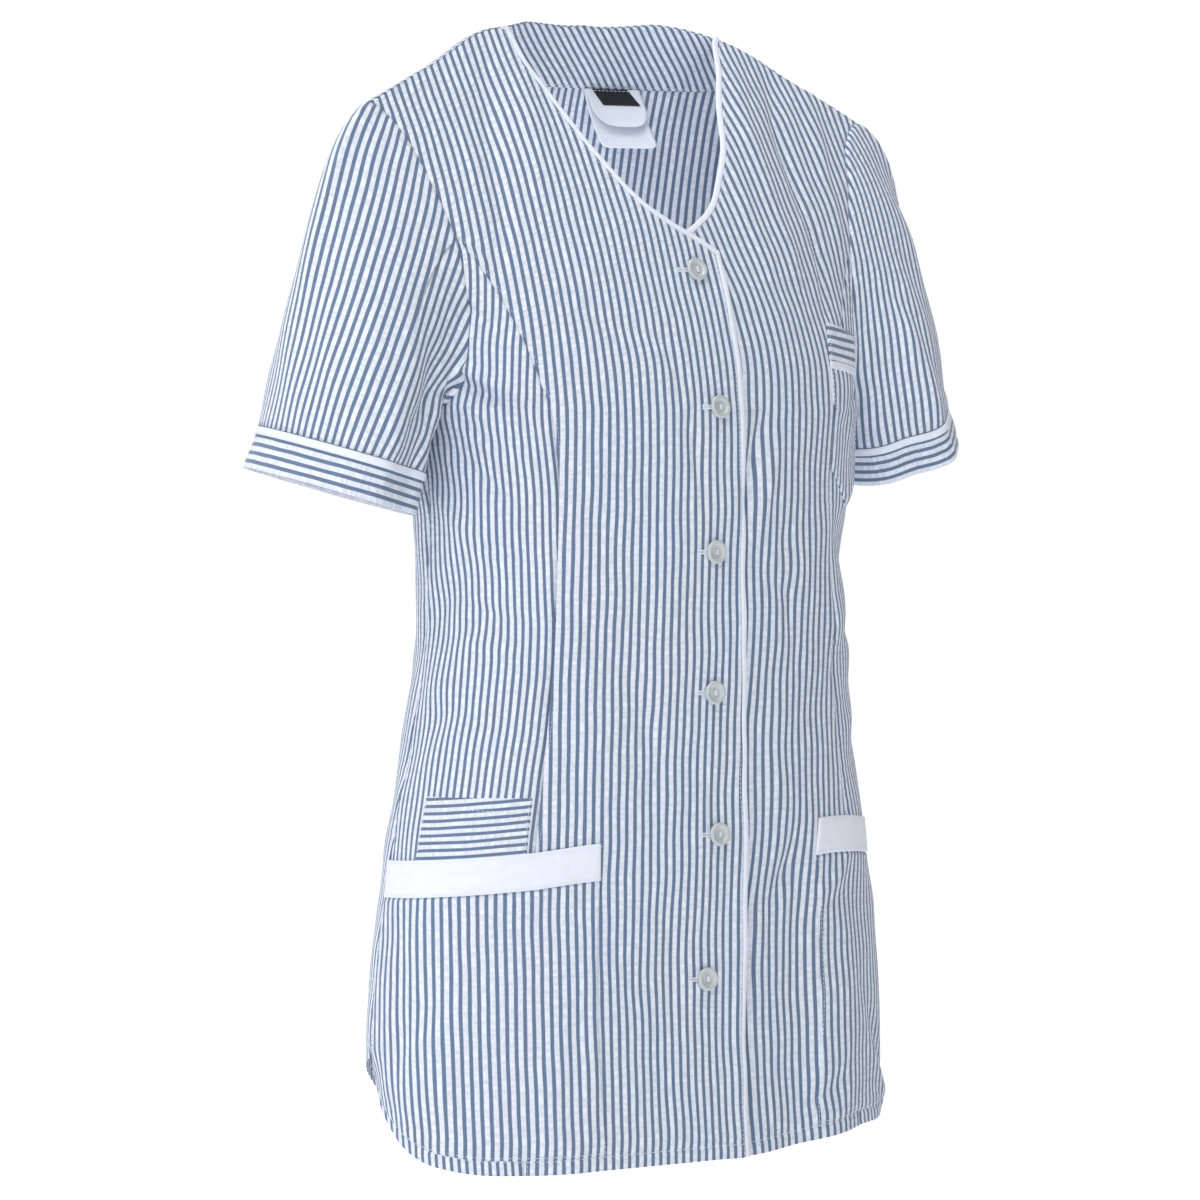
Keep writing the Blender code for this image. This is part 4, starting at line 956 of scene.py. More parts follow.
# ---------------------------------------------------------------- finishes
class Graph:
    """Short way to write a tree of nodes."""

    def __init__(self, tree: bpy.types.NodeTree) -> None:
        """Keep the tree to fill."""
        self.tree = tree

    @classmethod
    def group(cls, name: str, kind: str, inputs: dict, outputs: dict) -> "Graph":
        """Start a node group.

        Args:
            name: its name.
            kind: "Shader" or "Geometry".
            inputs: kind and default of each named input.
            outputs: kind of each named output.

        Returns:
            The graph of the group.
        """
        made = cls(bpy.data.node_groups.new(name, kind + "NodeTree"))
        for label, (what, default) in inputs.items():
            socket = made.socket(label, "INPUT", what)
            if default is not None:
                socket.default_value = default
        for label, what in outputs.items():
            made.socket(label, "OUTPUT", what)
        return made

    def socket(self, label: str, way: str, what: str) -> bpy.types.NodeTreeInterfaceSocket:
        """Add a socket to the group."""
        return self.tree.interface.new_socket(label, in_out=way, socket_type="NodeSocket" + what)

    def node(self, kind: str, inputs: Optional[dict] = None, **settings: object) -> bpy.types.Node:
        """Add a node.

        Args:
            kind: its type.
            inputs: values or sockets for its inputs, by name or number.
            settings: its properties.

        Returns:
            The node.
        """
        made = self.tree.nodes.new(kind)
        for name, value in settings.items():
            setattr(made, name, value)
        for key, value in (inputs or {}).items():
            self.feed(made.inputs[key], value)
        return made

    def feed(self, socket: bpy.types.NodeSocket, value: object) -> None:
        """Link a socket to an input, or set its value."""
        if isinstance(value, bpy.types.NodeSocket):
            self.tree.links.new(value, socket)
        else:
            socket.default_value = value

    def math(self, operation: str, *values: object) -> bpy.types.NodeSocket:
        """Result of a math node."""
        return self.node("ShaderNodeMath", dict(enumerate(values)), operation=operation).outputs[0]

    def vector(self, operation: str, one: object, two: object) -> bpy.types.Node:
        """Vector math node."""
        return self.node("ShaderNodeVectorMath", {0: one, 1: two}, operation=operation)

    def noise(self, spot: Sequence, across: float, along: float,
              detail: float = 1.0) -> bpy.types.NodeSocket:
        """Noise from 0 to 1 over the flat cloth.

        Args:
            spot: the two coordinates.
            across: scale of the first.
            along: scale of the second.
            detail: how fine it goes.

        Returns:
            The noise.
        """
        scaled = {0: self.math("MULTIPLY", spot[0], across),
                  1: self.math("MULTIPLY", spot[1], along)}
        inputs = {"Vector": self.node("ShaderNodeCombineXYZ", scaled).outputs[0], "Scale": 1.0,
                  "Detail": detail, "Roughness": 0.5}
        return self.node("ShaderNodeTexNoise", inputs).outputs[0]

    def offset(self, noise: object, amount: object) -> bpy.types.NodeSocket:
        """Noise moved to around 0 and scaled to an amount."""
        return self.math("MULTIPLY", self.math("SUBTRACT", noise, 0.5), amount)

    def ramp(self, value: object, low: object, high: object, start: float,
             end: float) -> bpy.types.NodeSocket:
        """Smooth ramp of a value from low to high, going from start to end."""
        return self.node("ShaderNodeMapRange", {0: value, 1: low, 2: high, 3: start, 4: end},
                         interpolation_type="SMOOTHSTEP").outputs[0]


@cache
def stripe_group() -> bpy.types.NodeTree:
    """Node group that turns a flat place into the colour, with painted pucker shade, and height of
    striped seersucker.

    Returns:
        The group.
    """
    g = Graph.group("StripedSeersucker", "Shader", {
        "Flat": ("Vector", None), "Pitch": ("Float", PITCH), "Share": ("Float", 0.43),
        "Shift": ("Float", 0.0), "Wobble": ("Float", 0.14),
        "Stripe": ("Color", (0.135, 0.193, 0.303, 1.0)),
        "Ground": ("Color", (0.78, 0.825, 0.93, 1.0)),
    }, {"Color": "Color", "Height": "Float"})
    given = g.node("NodeGroupInput").outputs
    flat = g.node("ShaderNodeSeparateXYZ", {0: given["Flat"]}).outputs
    drift = g.offset(g.noise(flat, 70.0, 38.0), given["Wobble"])
    place = g.math("ADD", g.math("DIVIDE", flat[0], given["Pitch"]),
                   g.math("ADD", drift, given["Shift"]))
    from_middle = g.math("ABSOLUTE", g.math("SUBTRACT", g.math("FRACT", place), 0.5))
    rag = g.offset(g.noise(flat, 900.0, 900.0), 0.06)
    half = g.math("ADD", g.math("MULTIPLY", given["Share"], 0.5), rag)
    edge = g.ramp(from_middle, g.math("SUBTRACT", half, 0.035), g.math("ADD", half, 0.035),
                  1.0, 0.0)
    puff = g.ramp(g.noise(flat, 95.0, 330.0, 2.0), 0.33, 0.67, 0.0, 1.0)
    weave = g.noise(flat, 2600.0, 2600.0)
    streak = g.noise(flat, 2400.0, 170.0)
    white = g.math("SUBTRACT", 1.0, g.math("MULTIPLY", edge, 0.72))
    height = g.math("ADD", g.math("MULTIPLY", puff, white), g.math("MULTIPLY", weave, 0.16))
    # painted shade of the puckers: the white ground below is multiplied by the pucker height,
    # darker in their hollows and lighter on their tops
    shade = g.math("ADD", 0.87, g.math("MULTIPLY", puff, 0.16))
    streaks = g.math("ADD", 0.76, g.math("MULTIPLY", streak, 0.48))
    stripe = g.vector("MULTIPLY", given["Stripe"], streaks)
    ground = g.vector("MULTIPLY", given["Ground"], shade)
    mixed = g.node("ShaderNodeMix", {0: edge}, data_type="RGBA")
    g.feed(mixed.inputs[6], ground.outputs[0])
    g.feed(mixed.inputs[7], stripe.outputs[0])
    g.node("NodeGroupOutput", {0: mixed.outputs[2], 1: height})
    return g.tree


@cache
def weave_group() -> bpy.types.NodeTree:
    """Node group of a plain woven cloth: its colour, with painted shade of its rumples, and its
    height.

    Returns:
        The group.
    """
    g = Graph.group("PlainWeave", "Shader",
                    {"Flat": ("Vector", None), "Ground": ("Color", (0.78, 0.82, 0.91, 1.0))},
                    {"Color": "Color", "Height": "Float"})
    given = g.node("NodeGroupInput").outputs
    flat = g.node("ShaderNodeSeparateXYZ", {0: given["Flat"]}).outputs
    threads = g.noise(flat, 1900.0, 1900.0)
    rumple = g.noise(flat, 120.0, 170.0, 2.0)
    height = g.math("ADD", g.math("MULTIPLY", threads, 0.25), rumple)
    # painted shade of the rumples: the colour below is darker where the rumple height is low and
    # lighter where it is high
    shade = g.math("ADD", 0.93, g.math("MULTIPLY", rumple, 0.12))
    colour = g.vector("MULTIPLY", given["Ground"], shade)
    g.node("NodeGroupOutput", {0: colour.outputs[0], 1: height})
    return g.tree


@dataclass(frozen=True)
class Finish:
    """A finish: its name, its slot, and how rough it is."""

    name: str
    slot: str
    roughness: float

    @cache
    def material(self) -> bpy.types.Material:
        """The finish as a material, made once.

        Returns:
            The material.
        """
        made = bpy.data.materials.new(self.name)
        made.use_nodes = True
        sockets = made.node_tree.nodes["Principled BSDF"].inputs
        sockets["Roughness"].default_value = self.roughness
        self.dress(Graph(made.node_tree), sockets)
        return made


@dataclass(frozen=True)
class ClothFinish(Finish):
    """A woven cotton finish driven by one of the node groups."""

    striped: bool = False
    sheen: float = 0.18
    bump: float = 0.7
    depth: float = 0.0010
    ground: Optional[tuple] = None

    def dress(self, g: Graph, sockets: bpy.types.NodeInputs) -> None:
        """Set the sockets of the shader and feed its colour and normal.

        Args:
            g: graph of the material.
            sockets: inputs of its shader.
        """
        sockets["Sheen Weight"].default_value = self.sheen
        sockets["Sheen Roughness"].default_value = 0.45
        sockets["Specular IOR Level"].default_value = 0.22
        flat = g.node("ShaderNodeUVMap", uv_map="Flat").outputs[0]
        tree = stripe_group() if self.striped else weave_group()
        group = g.node("ShaderNodeGroup", node_tree=tree)
        g.feed(group.inputs["Flat"], flat)
        if self.ground:
            group.inputs["Ground"].default_value = (*self.ground, 1.0)
        inputs = {"Strength": self.bump, "Distance": self.depth, "Height": group.outputs["Height"]}
        bump = g.node("ShaderNodeBump", inputs)
        g.feed(sockets["Base Color"], group.outputs["Color"])
        g.feed(sockets["Normal"], bump.outputs[0])


@dataclass(frozen=True)
class PlainFinish(Finish):
    """A finish of one colour."""

    colour: tuple
    coat: float = 0.0
    glow: float = 0.0

    def dress(self, g: Graph, sockets: bpy.types.NodeInputs) -> None:
        """Set the sockets of the shader and feed its colour.

        Args:
            g: graph of the material.
            sockets: inputs of its shader.
        """
        spot = g.node("ShaderNodeTexCoord").outputs["Object"]
        cloud = g.node("ShaderNodeTexNoise", {"Vector": spot, "Scale": 260.0, "Detail": 2.0})
        shade = g.math("ADD", 0.92, g.math("MULTIPLY", cloud.outputs[0], 0.16))
        g.feed(sockets["Base Color"], g.vector("MULTIPLY", self.colour, shade).outputs[0])
        sockets["Coat Weight"].default_value = self.coat
        sockets["Coat Roughness"].default_value = 0.12
        sockets["Subsurface Weight"].default_value = self.glow
        sockets["Subsurface Scale"].default_value = 0.002


STRIPED = ClothFinish("Seersucker", "striped_cotton", 0.85, True)
WHITE = ClothFinish("WhiteCotton", "white_cotton", 0.8, False, 0.12, 0.35, 0.0005)
BLACK = ClothFinish("BlackRibbon", "black_label", 0.6, False, 0.05, 0.3, 0.0003,
                    (0.022, 0.022, 0.026))
PEARL = PlainFinish("PearlButton", "pearl_button", 0.20, (0.50, 0.55, 0.56), 0.7, 0.15)
THREAD = PlainFinish("WhiteThread", "white_cotton", 0.6, (0.78, 0.82, 0.90))
BLUE_THREAD = PlainFinish("PaleThread", "striped_cotton", 0.6, (0.62, 0.68, 0.80))


# ---------------------------------------------------------------- meshes
@dataclass
class Mesher:
    """Collects points and grids of faces, then makes one mesh object of them."""

    name: str
    points: list = field(default_factory=list)
    quads: list = field(default_factory=list)
    flats: list = field(default_factory=list)
    count: int = 0

    def add(self, grid: np.ndarray) -> np.ndarray:
        """Add a grid of points.

        Args:
            grid: rows and columns of points.

        Returns:
            Their numbers, as rows and columns.
        """
        found = np.arange(grid.shape[0] * grid.shape[1]).reshape(grid.shape[:2]) + self.count
        self.points.append(grid.reshape(-1, 3))
        self.count += grid.shape[0] * grid.shape[1]
        return found

    def skin(self, index: np.ndarray, flat: np.ndarray) -> None:
        """Add the faces of a grid of point numbers.

        Args:
            index: rows and columns of point numbers.
            flat: a flat place for each.
        """
        def corners(grid: np.ndarray) -> np.ndarray:
            """The four corners of each face of a grid."""
            return np.stack([grid[:-1, :-1], grid[:-1, 1:], grid[1:, 1:], grid[1:, :-1]], axis=2)

        self.quads.append(corners(index).reshape(-1, 4))
        self.flats.append(corners(flat).reshape(-1, 4, 2))

    def slab(self, outer: np.ndarray, inner: np.ndarray, flat: np.ndarray,
             wrap: bool = False) -> None:
        """Add the closed shell between two lattices.

        Args:
            outer: outer points.
            inner: inner points.
            flat: flat places, with one column more than the points if it wraps.
            wrap: whether the last column joins the first.
        """
        one, two = self.add(outer), self.add(inner)
        if wrap:
            one = np.concatenate([one, one[:, :1]], axis=1)
            two = np.concatenate([two, two[:, :1]], axis=1)
        self.skin(one, flat)
        self.skin(two[:, ::-1], flat[:, ::-1])
        rims = [(0, slice(None)), (-1, slice(None))]
        rims += [] if wrap else [(slice(None), 0), (slice(None), -1)]
        for rim in rims:
            self.skin(np.stack([one[rim], two[rim]]), np.stack([flat[rim], flat[rim] + 0.0004]))

    def tube(self, grid: np.ndarray, flat: np.ndarray) -> None:
        """Add a tube with capped ends.

        Args:
            grid: points, a row for each corner of its section.
            flat: flat places, with one row more.
        """
        index = self.add(grid)
        self.skin(np.concatenate([index, index[:1]]), flat)
        half = len(index) // 2
        for end in (0, -1):
            self.skin(np.stack([index[:half, end], index[half:, end][::-1]]),
                      np.stack([flat[:half, end], flat[half:2 * half, end][::-1]]))

    def finish(self, finish: Finish, packed: bool = True) -> dict:
        """Args:
            finish: its finish.
            packed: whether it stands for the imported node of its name.

        Returns:
            The object by name.
        """
        points = np.concatenate(self.points)
        quads = np.concatenate(self.quads)
        flats = np.concatenate(self.flats)
        mesh = bpy.data.meshes.new(self.name)
        mesh.vertices.add(len(points))
        mesh.vertices.foreach_set("co", points.astype(np.float32).ravel())
        mesh.loops.add(quads.size)
        mesh.loops.foreach_set("vertex_index", quads.astype(np.int32).ravel())
        mesh.polygons.add(len(quads))
        mesh.polygons.foreach_set("loop_start", np.arange(0, quads.size, 4, dtype=np.int32))
        layer = mesh.uv_layers.new(name="Flat")
        layer.data.foreach_set("uv", flats.astype(np.float32).ravel())
        mesh.update(calc_edges=True)
        mesh.validate()
        work = bmesh.new()
        work.from_mesh(mesh)
        bmesh.ops.recalc_face_normals(work, faces=work.faces[:])
        work.to_mesh(mesh)
        work.free()
        mesh.polygons.foreach_set("use_smooth", np.ones(len(mesh.polygons), bool))
        return place(self.name, mesh, finish, packed)


def linked(name: str, data: object) -> bpy.types.Object:
    """Object of a mesh, lamp or camera, linked to the scene.

    Args:
        name: its name.
        data: what it holds.

    Returns:
        The object.
    """
    item = bpy.data.objects.new(name, data)
    bpy.context.scene.collection.objects.link(item)
    return item


def evaluated(item: bpy.types.Object, name: str) -> bpy.types.Mesh:
    """Turn an object with a modifier into a plain mesh.

    Args:
        item: the object, which is removed.
        name: name of the mesh.

    Returns:
        The mesh.
    """
    graph = bpy.context.evaluated_depsgraph_get()
    made = bpy.data.meshes.new_from_object(item.evaluated_get(graph))
    item.modifiers.clear()
    bpy.data.objects.remove(item)
    made.name = name
    return made


def place(name: str, mesh: bpy.types.Mesh, finish: Finish, packed: bool) -> dict:
    """Add a mesh to the scene as a piece that rides on the body.

    Args:
        name: name of the piece.
        mesh: its mesh, already in place.
        finish: its finish.
        packed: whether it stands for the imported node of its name.

    Returns:
        The object by name.
    """
    item = linked(name, mesh)
    mesh.materials.clear()
    mesh.materials.append(finish.material())
    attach(item, BODY)
    if packed:
        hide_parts(name)
    log.info("%s: %d faces", name, len(mesh.polygons))
    return {name: item}


def shell(name: str, lattice: Lattice, relief: np.ndarray, finish: Finish,
          vectors: Optional[np.ndarray] = None, lift: float = WALL / 2.0,
          thick: float = CLOTH_THICK) -> dict:
    """A piece of cloth as a thin shell whose outer face lies a lift off its lattice.

    Args:
        name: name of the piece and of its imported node.
        lattice: its lattice.
        relief: offset at each point.
        finish: its finish.
        vectors: what its thickness runs along, if not its normals.
        lift: how far its outer face lies off the lattice.
        thick: its thickness.

    Returns:
        The object by name.
    """
    vectors = lattice.normals if vectors is None else vectors
    lattice.relief = relief if np.ndim(relief) else None
    out = (lift + relief)[..., None] if np.ndim(relief) else lift + relief
    outer = lattice.points + vectors * out
    mesher = Mesher(name)
    mesher.slab(outer, outer - vectors * thick, lattice.uv)
    return mesher.finish(finish)


# ---------------------------------------------------------------- torso
@dataclass
class Torso:
    """The five cloth panels of the body, and their shared lattices."""

    fronts: dict = field(default_factory=dict)
    sides: dict = field(default_factory=dict)
    joined: dict = field(default_factory=dict)
    back: Optional[Lattice] = None

    @staticmethod
    def lattice(rows: np.ndarray, columns: np.ndarray, shares: Sequence[float], ends: object,
                side: int, lapped: bool) -> Lattice:
        """Lattice of a front piece between two lines round the body.

        Args:
            rows: its row numbers.
            columns: its column numbers.
            shares: share of the way at each CAD column.
            ends: function that gives both end angles of a row.
            side: side of the body.
            lapped: whether it laps at the middle.

        Returns:
            The lattice.
        """
        share = np.interp(columns, range(len(shares)), shares)
        theta = np.array([start + (end - start) * share for start, end in map(ends, rows)])
        level = np.array([Cut.level(row, side * line) for row, line in zip(rows, theta)])
        normal = Form.normal(side * theta, level)
        points = Form.point(side * theta, level)
        if lapped:
            turn = np.degrees(theta)
            near = (smoothstep((-turn - 2.0) / 3.6) if side < 0
                    else 1.0 - smoothstep((np.abs(turn - 4.0) - 3.0) / 7.0))
            lift = LAP_LIFT * (1.0 - smoothstep((turn - 11.0) / 12.0))
            lift = lift + EDGE_STAND * near * smoothstep((-0.40 - points[..., 2]) / 0.18)
            points = points + normal * (-side * lift)[..., None]
        return Lattice(points, normal, rows, columns)

    def shape(self) -> None:
        """Work out every lattice of the body and lay each out flat."""
        high = fine_rows(0, LAST_ROW)
        low = fine_rows(0, TIP_ROW)
        for side in (-1, 1):
            self.fronts[side] = self.lattice(
                high, fine_columns(10, 5), FRONT_COLUMNS,
                lambda row: (Cut.edge(row), Cut.princess(row)), side, True)
            self.sides[side] = self.lattice(
                low, fine_columns(8, 5), SIDE_COLUMNS,
                lambda row: (Cut.princess(row), Cut.side_end(row)), side, False)
        self.back = self.back_lattice(high)
        self.share_shoulder()
        for side in (-1, 1):
            front, beside = self.fronts[side], self.sides[side]
            count = len(low)
            points = np.concatenate([front.points[:count], beside.points[:, 1:]], axis=1)
            normals = np.concatenate([front.normals[:count], beside.normals[:, 1:]], axis=1)
            columns = np.concatenate([front.columns, beside.columns[1:] + 9.0])
            self.joined[side] = Lattice(points, normals, low, columns)
            word = Side(side).word
            front.lay_flat("front_" + word, (2, 0), (FIRST_ARCH + 4, 0))
            beside.lay_flat("side_front_" + word, (4, 3), (FIRST_ARCH + 2, 3))
        self.back.lay_flat("back", (2, 8), (LAST_ROW - 6, 8))

    @staticmethod
    def back_lattice(rows: np.ndarray) -> Lattice:
        """Lattice of the back, from the wearer's right to the wearer's left.

        Args:
            rows: its row numbers.

        Returns:
            The lattice.
        """
        columns = fine_columns(17, 6)
        share = np.interp(columns, range(17), BACK_COLUMNS)
        theta, level = [], []
        for row in rows:
            edge = Cut.side(row) + Cut.vent(row)
            if row >= FIRST_ARCH:
                edge = Cut.armhole(row, "back")
            line = np.sign(share) * (math.pi - (math.pi - edge) * np.abs(share))
            line = np.where(np.abs(share) < 1e-9, math.pi, line)
            height = Cut.level(row, line)
            if row >= FIRST_ARCH:
                inside = np.clip(1.0 - np.abs(share) / NECK_COLUMN, 0.0, 1.0)
                dip = (1.0 - BACK_NECK_DEPTH) * (1.0 - (1.0 - inside) ** 2.4)
                height = height * (1.0 - dip * smoothstep(Cut.middle_level(row) * 1.3))
            theta.append(line)
            level.append(height)
        theta, level = np.array(theta), np.array(level)
        return Lattice(Form.point(theta, level), Form.normal(theta, level), rows, columns)

    def share_shoulder(self) -> None:
        """Seat the fronts on the back's shoulder seam."""
        points, normals = self.back.points, self.back.normals
        for j in range(points.shape[1]):
            x = points[-1, j, 0]
            if abs(x) >= 0.0905:
                theta = float(Form.angle_at(x / RIDGE_HALF))
                behind = np.sign(x) * math.pi - theta
                both = [Form.normal(np.array(t), np.array(1.0)) for t in (theta, behind)]
                normals[-1, j] = unit(both[0] + both[1])
        for front in self.fronts.values():
            for j in range(front.points.shape[1]):
                x = front.points[-1, j, 0]
                for axis in (1, 2):
                    front.points[-1, j, axis] = np.interp(x, points[-1, :, 0], points[-1, :, axis])
                mean = [np.interp(x, points[-1, :, 0], normals[-1, :, axis]) for axis in range(3)]
                front.normals[-1, j] = unit(np.array(mean))

    def marks(self) -> tuple:
        """Rows of the underarm, the shaping seam's tip and the shoulder."""
        under = int(np.flatnonzero(self.back.rows == FIRST_ARCH)[0])
        return under, len(self.sides[1].rows) - 1, len(self.back.rows) - 1

    def ring(self, side: int) -> tuple:
        """Armhole points and normals, from the shoulder down the front and up the back.

        Args:
            side: side of the body.

        Returns:
            The points, the normals, and how many lie on the front.
        """
        front, beside, back = self.fronts[side], self.sides[side], self.back
        under, tip, top = self.marks()
        column = -1 if side > 0 else 0
        found = []
        for grid in ("points", "normals"):
            one, two, three = getattr(front, grid), getattr(beside, grid), getattr(back, grid)
            found.append(np.concatenate([one[top:tip:-1, -1], two[tip:under - 1:-1, -1],
                                         three[under + 1:top, column]]))
        return found[0], unit(found[1]), top - under

    def build(self, mitres: dict) -> dict:
        """Make the five panels.

        Args:
            mitres: normals shared with each sleeve round its armhole.

        Returns:
            The objects by name.
        """
        made = {}
        under, tip, top = self.marks()
        back_vectors = self.back.normals.copy()
        for side in Side:
            s = side.value
            front, beside = self.fronts[s], self.sides[s]
            front_vectors, beside_vectors = front.normals.copy(), beside.normals.copy()
            column = -1 if s > 0 else 0
            ring = mitres[s]
            count = top - under
            front_vectors[top:tip:-1, -1] = ring[:top - tip]
            beside_vectors[tip:under - 1:-1, -1] = ring[top - tip:count + 1]
            back_vectors[under, column] = ring[count]
            back_vectors[under + 1:top, column] = ring[count + 1:]
            back_vectors[top, column] = ring[0]
            relief = border_relief(front, {"foot": Border.HEM, "last": Border.SEAM,
                                           "top": Border.SEAM}, 0.8)
            made.update(shell("front_" + side.word, front, relief, STRIPED, front_vectors))
            relief = border_relief(beside, {"foot": Border.HEM, "first": Border.SEAM,
                                            "last": Border.SEAM})
            made.update(shell("side_front_" + side.word, beside, relief, STRIPED, beside_vectors))
        relief = border_relief(self.back, {"foot": Border.HEM, "first": Border.SEAM,
                                           "last": Border.SEAM}, 0.8)
        made.update(shell("back", self.back, relief, STRIPED, back_vectors))
        return made

    def build_stitches(self) -> dict:
        """Lay the stitches of the hems and the shaping seams.

        Returns:
            The objects by name.
        """
        made = {}
        over = WALL / 2.0 + 0.0001
        for side in Side:
            front, beside = self.fronts[side.value], self.sides[side.value]
            lines = [front.inset("foot", HEM_DEPTH, over), beside.inset("foot", HEM_DEPTH, over)]
            made.update(stitches("hem_stitches_" + side.word, lines))
            share = len(beside.rows) / len(front.rows)
            lines = [front.inset("last", 0.0022, over, 0.0, share)]
            made.update(stitches("seam_stitches_" + side.word, lines, BLUE_THREAD, Radius=0.00016))
        lines = [self.back.inset("foot", HEM_DEPTH, over)]
        made.update(stitches("hem_stitches_back", lines))
        return made


# ---------------------------------------------------------------- sleeves
@dataclass(frozen=True)
class SleeveSize:
    """Where a sleeve ends: middle of its mouth, half widths, slopes in degrees, fullness."""

    side: Side
    x: float
    y: float
    z: float
    half_x: float
    half_y: float
    tilt: float
    lean: float
    fullness: float


SLEEVE_SIZES = (
    SleeveSize(Side.RIGHT, 0.2205, -0.005, -0.2760, 0.0500, 0.065, 14.0, -8.0, 0.0065),
    SleeveSize(Side.LEFT, 0.2130, -0.005, -0.2480, 0.0475, 0.065, 28.0, -13.0, 0.0115),
)
# Folds of a sleeve: side (0 both), path of (turn in degrees, share of length), half width, depth.
SLEEVE_FOLDS = (
    (0, ((112.0, 0.30), (112.0, 1.0)), 16.0, -0.0050),
    (0, ((82.0, 0.35), (82.0, 1.0)), 14.0, 0.0030),
    (0, ((250.0, 0.30), (250.0, 1.0)), 18.0, -0.0045),
    (-1, ((142.0, 0.30), (122.0, 0.55), (98.0, 0.80), (94.0, 1.0)), 8.0, -0.0026),
    (-1, ((150.0, 0.25), (136.0, 0.50), (124.0, 0.80), (126.0, 1.0)), 8.0, 0.0026),
    (-1, ((60.0, 0.45), (56.0, 0.75), (60.0, 1.0)), 10.0, 0.0014),
    (-1, ((20.0, 0.30), (14.0, 0.65), (18.0, 1.0)), 12.0, -0.0010),
    (-1, ((300.0, 0.30), (285.0, 0.65), (290.0, 1.0)), 12.0, -0.0020),
    (1, ((60.0, 0.10), (48.0, 0.45), (52.0, 1.0)), 11.0, -0.0020),
    (1, ((30.0, 0.20), (22.0, 0.60), (24.0, 1.0)), 11.0, 0.0016),
    (1, ((88.0, 0.15), (72.0, 0.50), (70.0, 0.90)), 9.0, -0.0020),
    (1, ((320.0, 0.20), (300.0, 0.60), (305.0, 1.0)), 12.0, -0.0020),
)


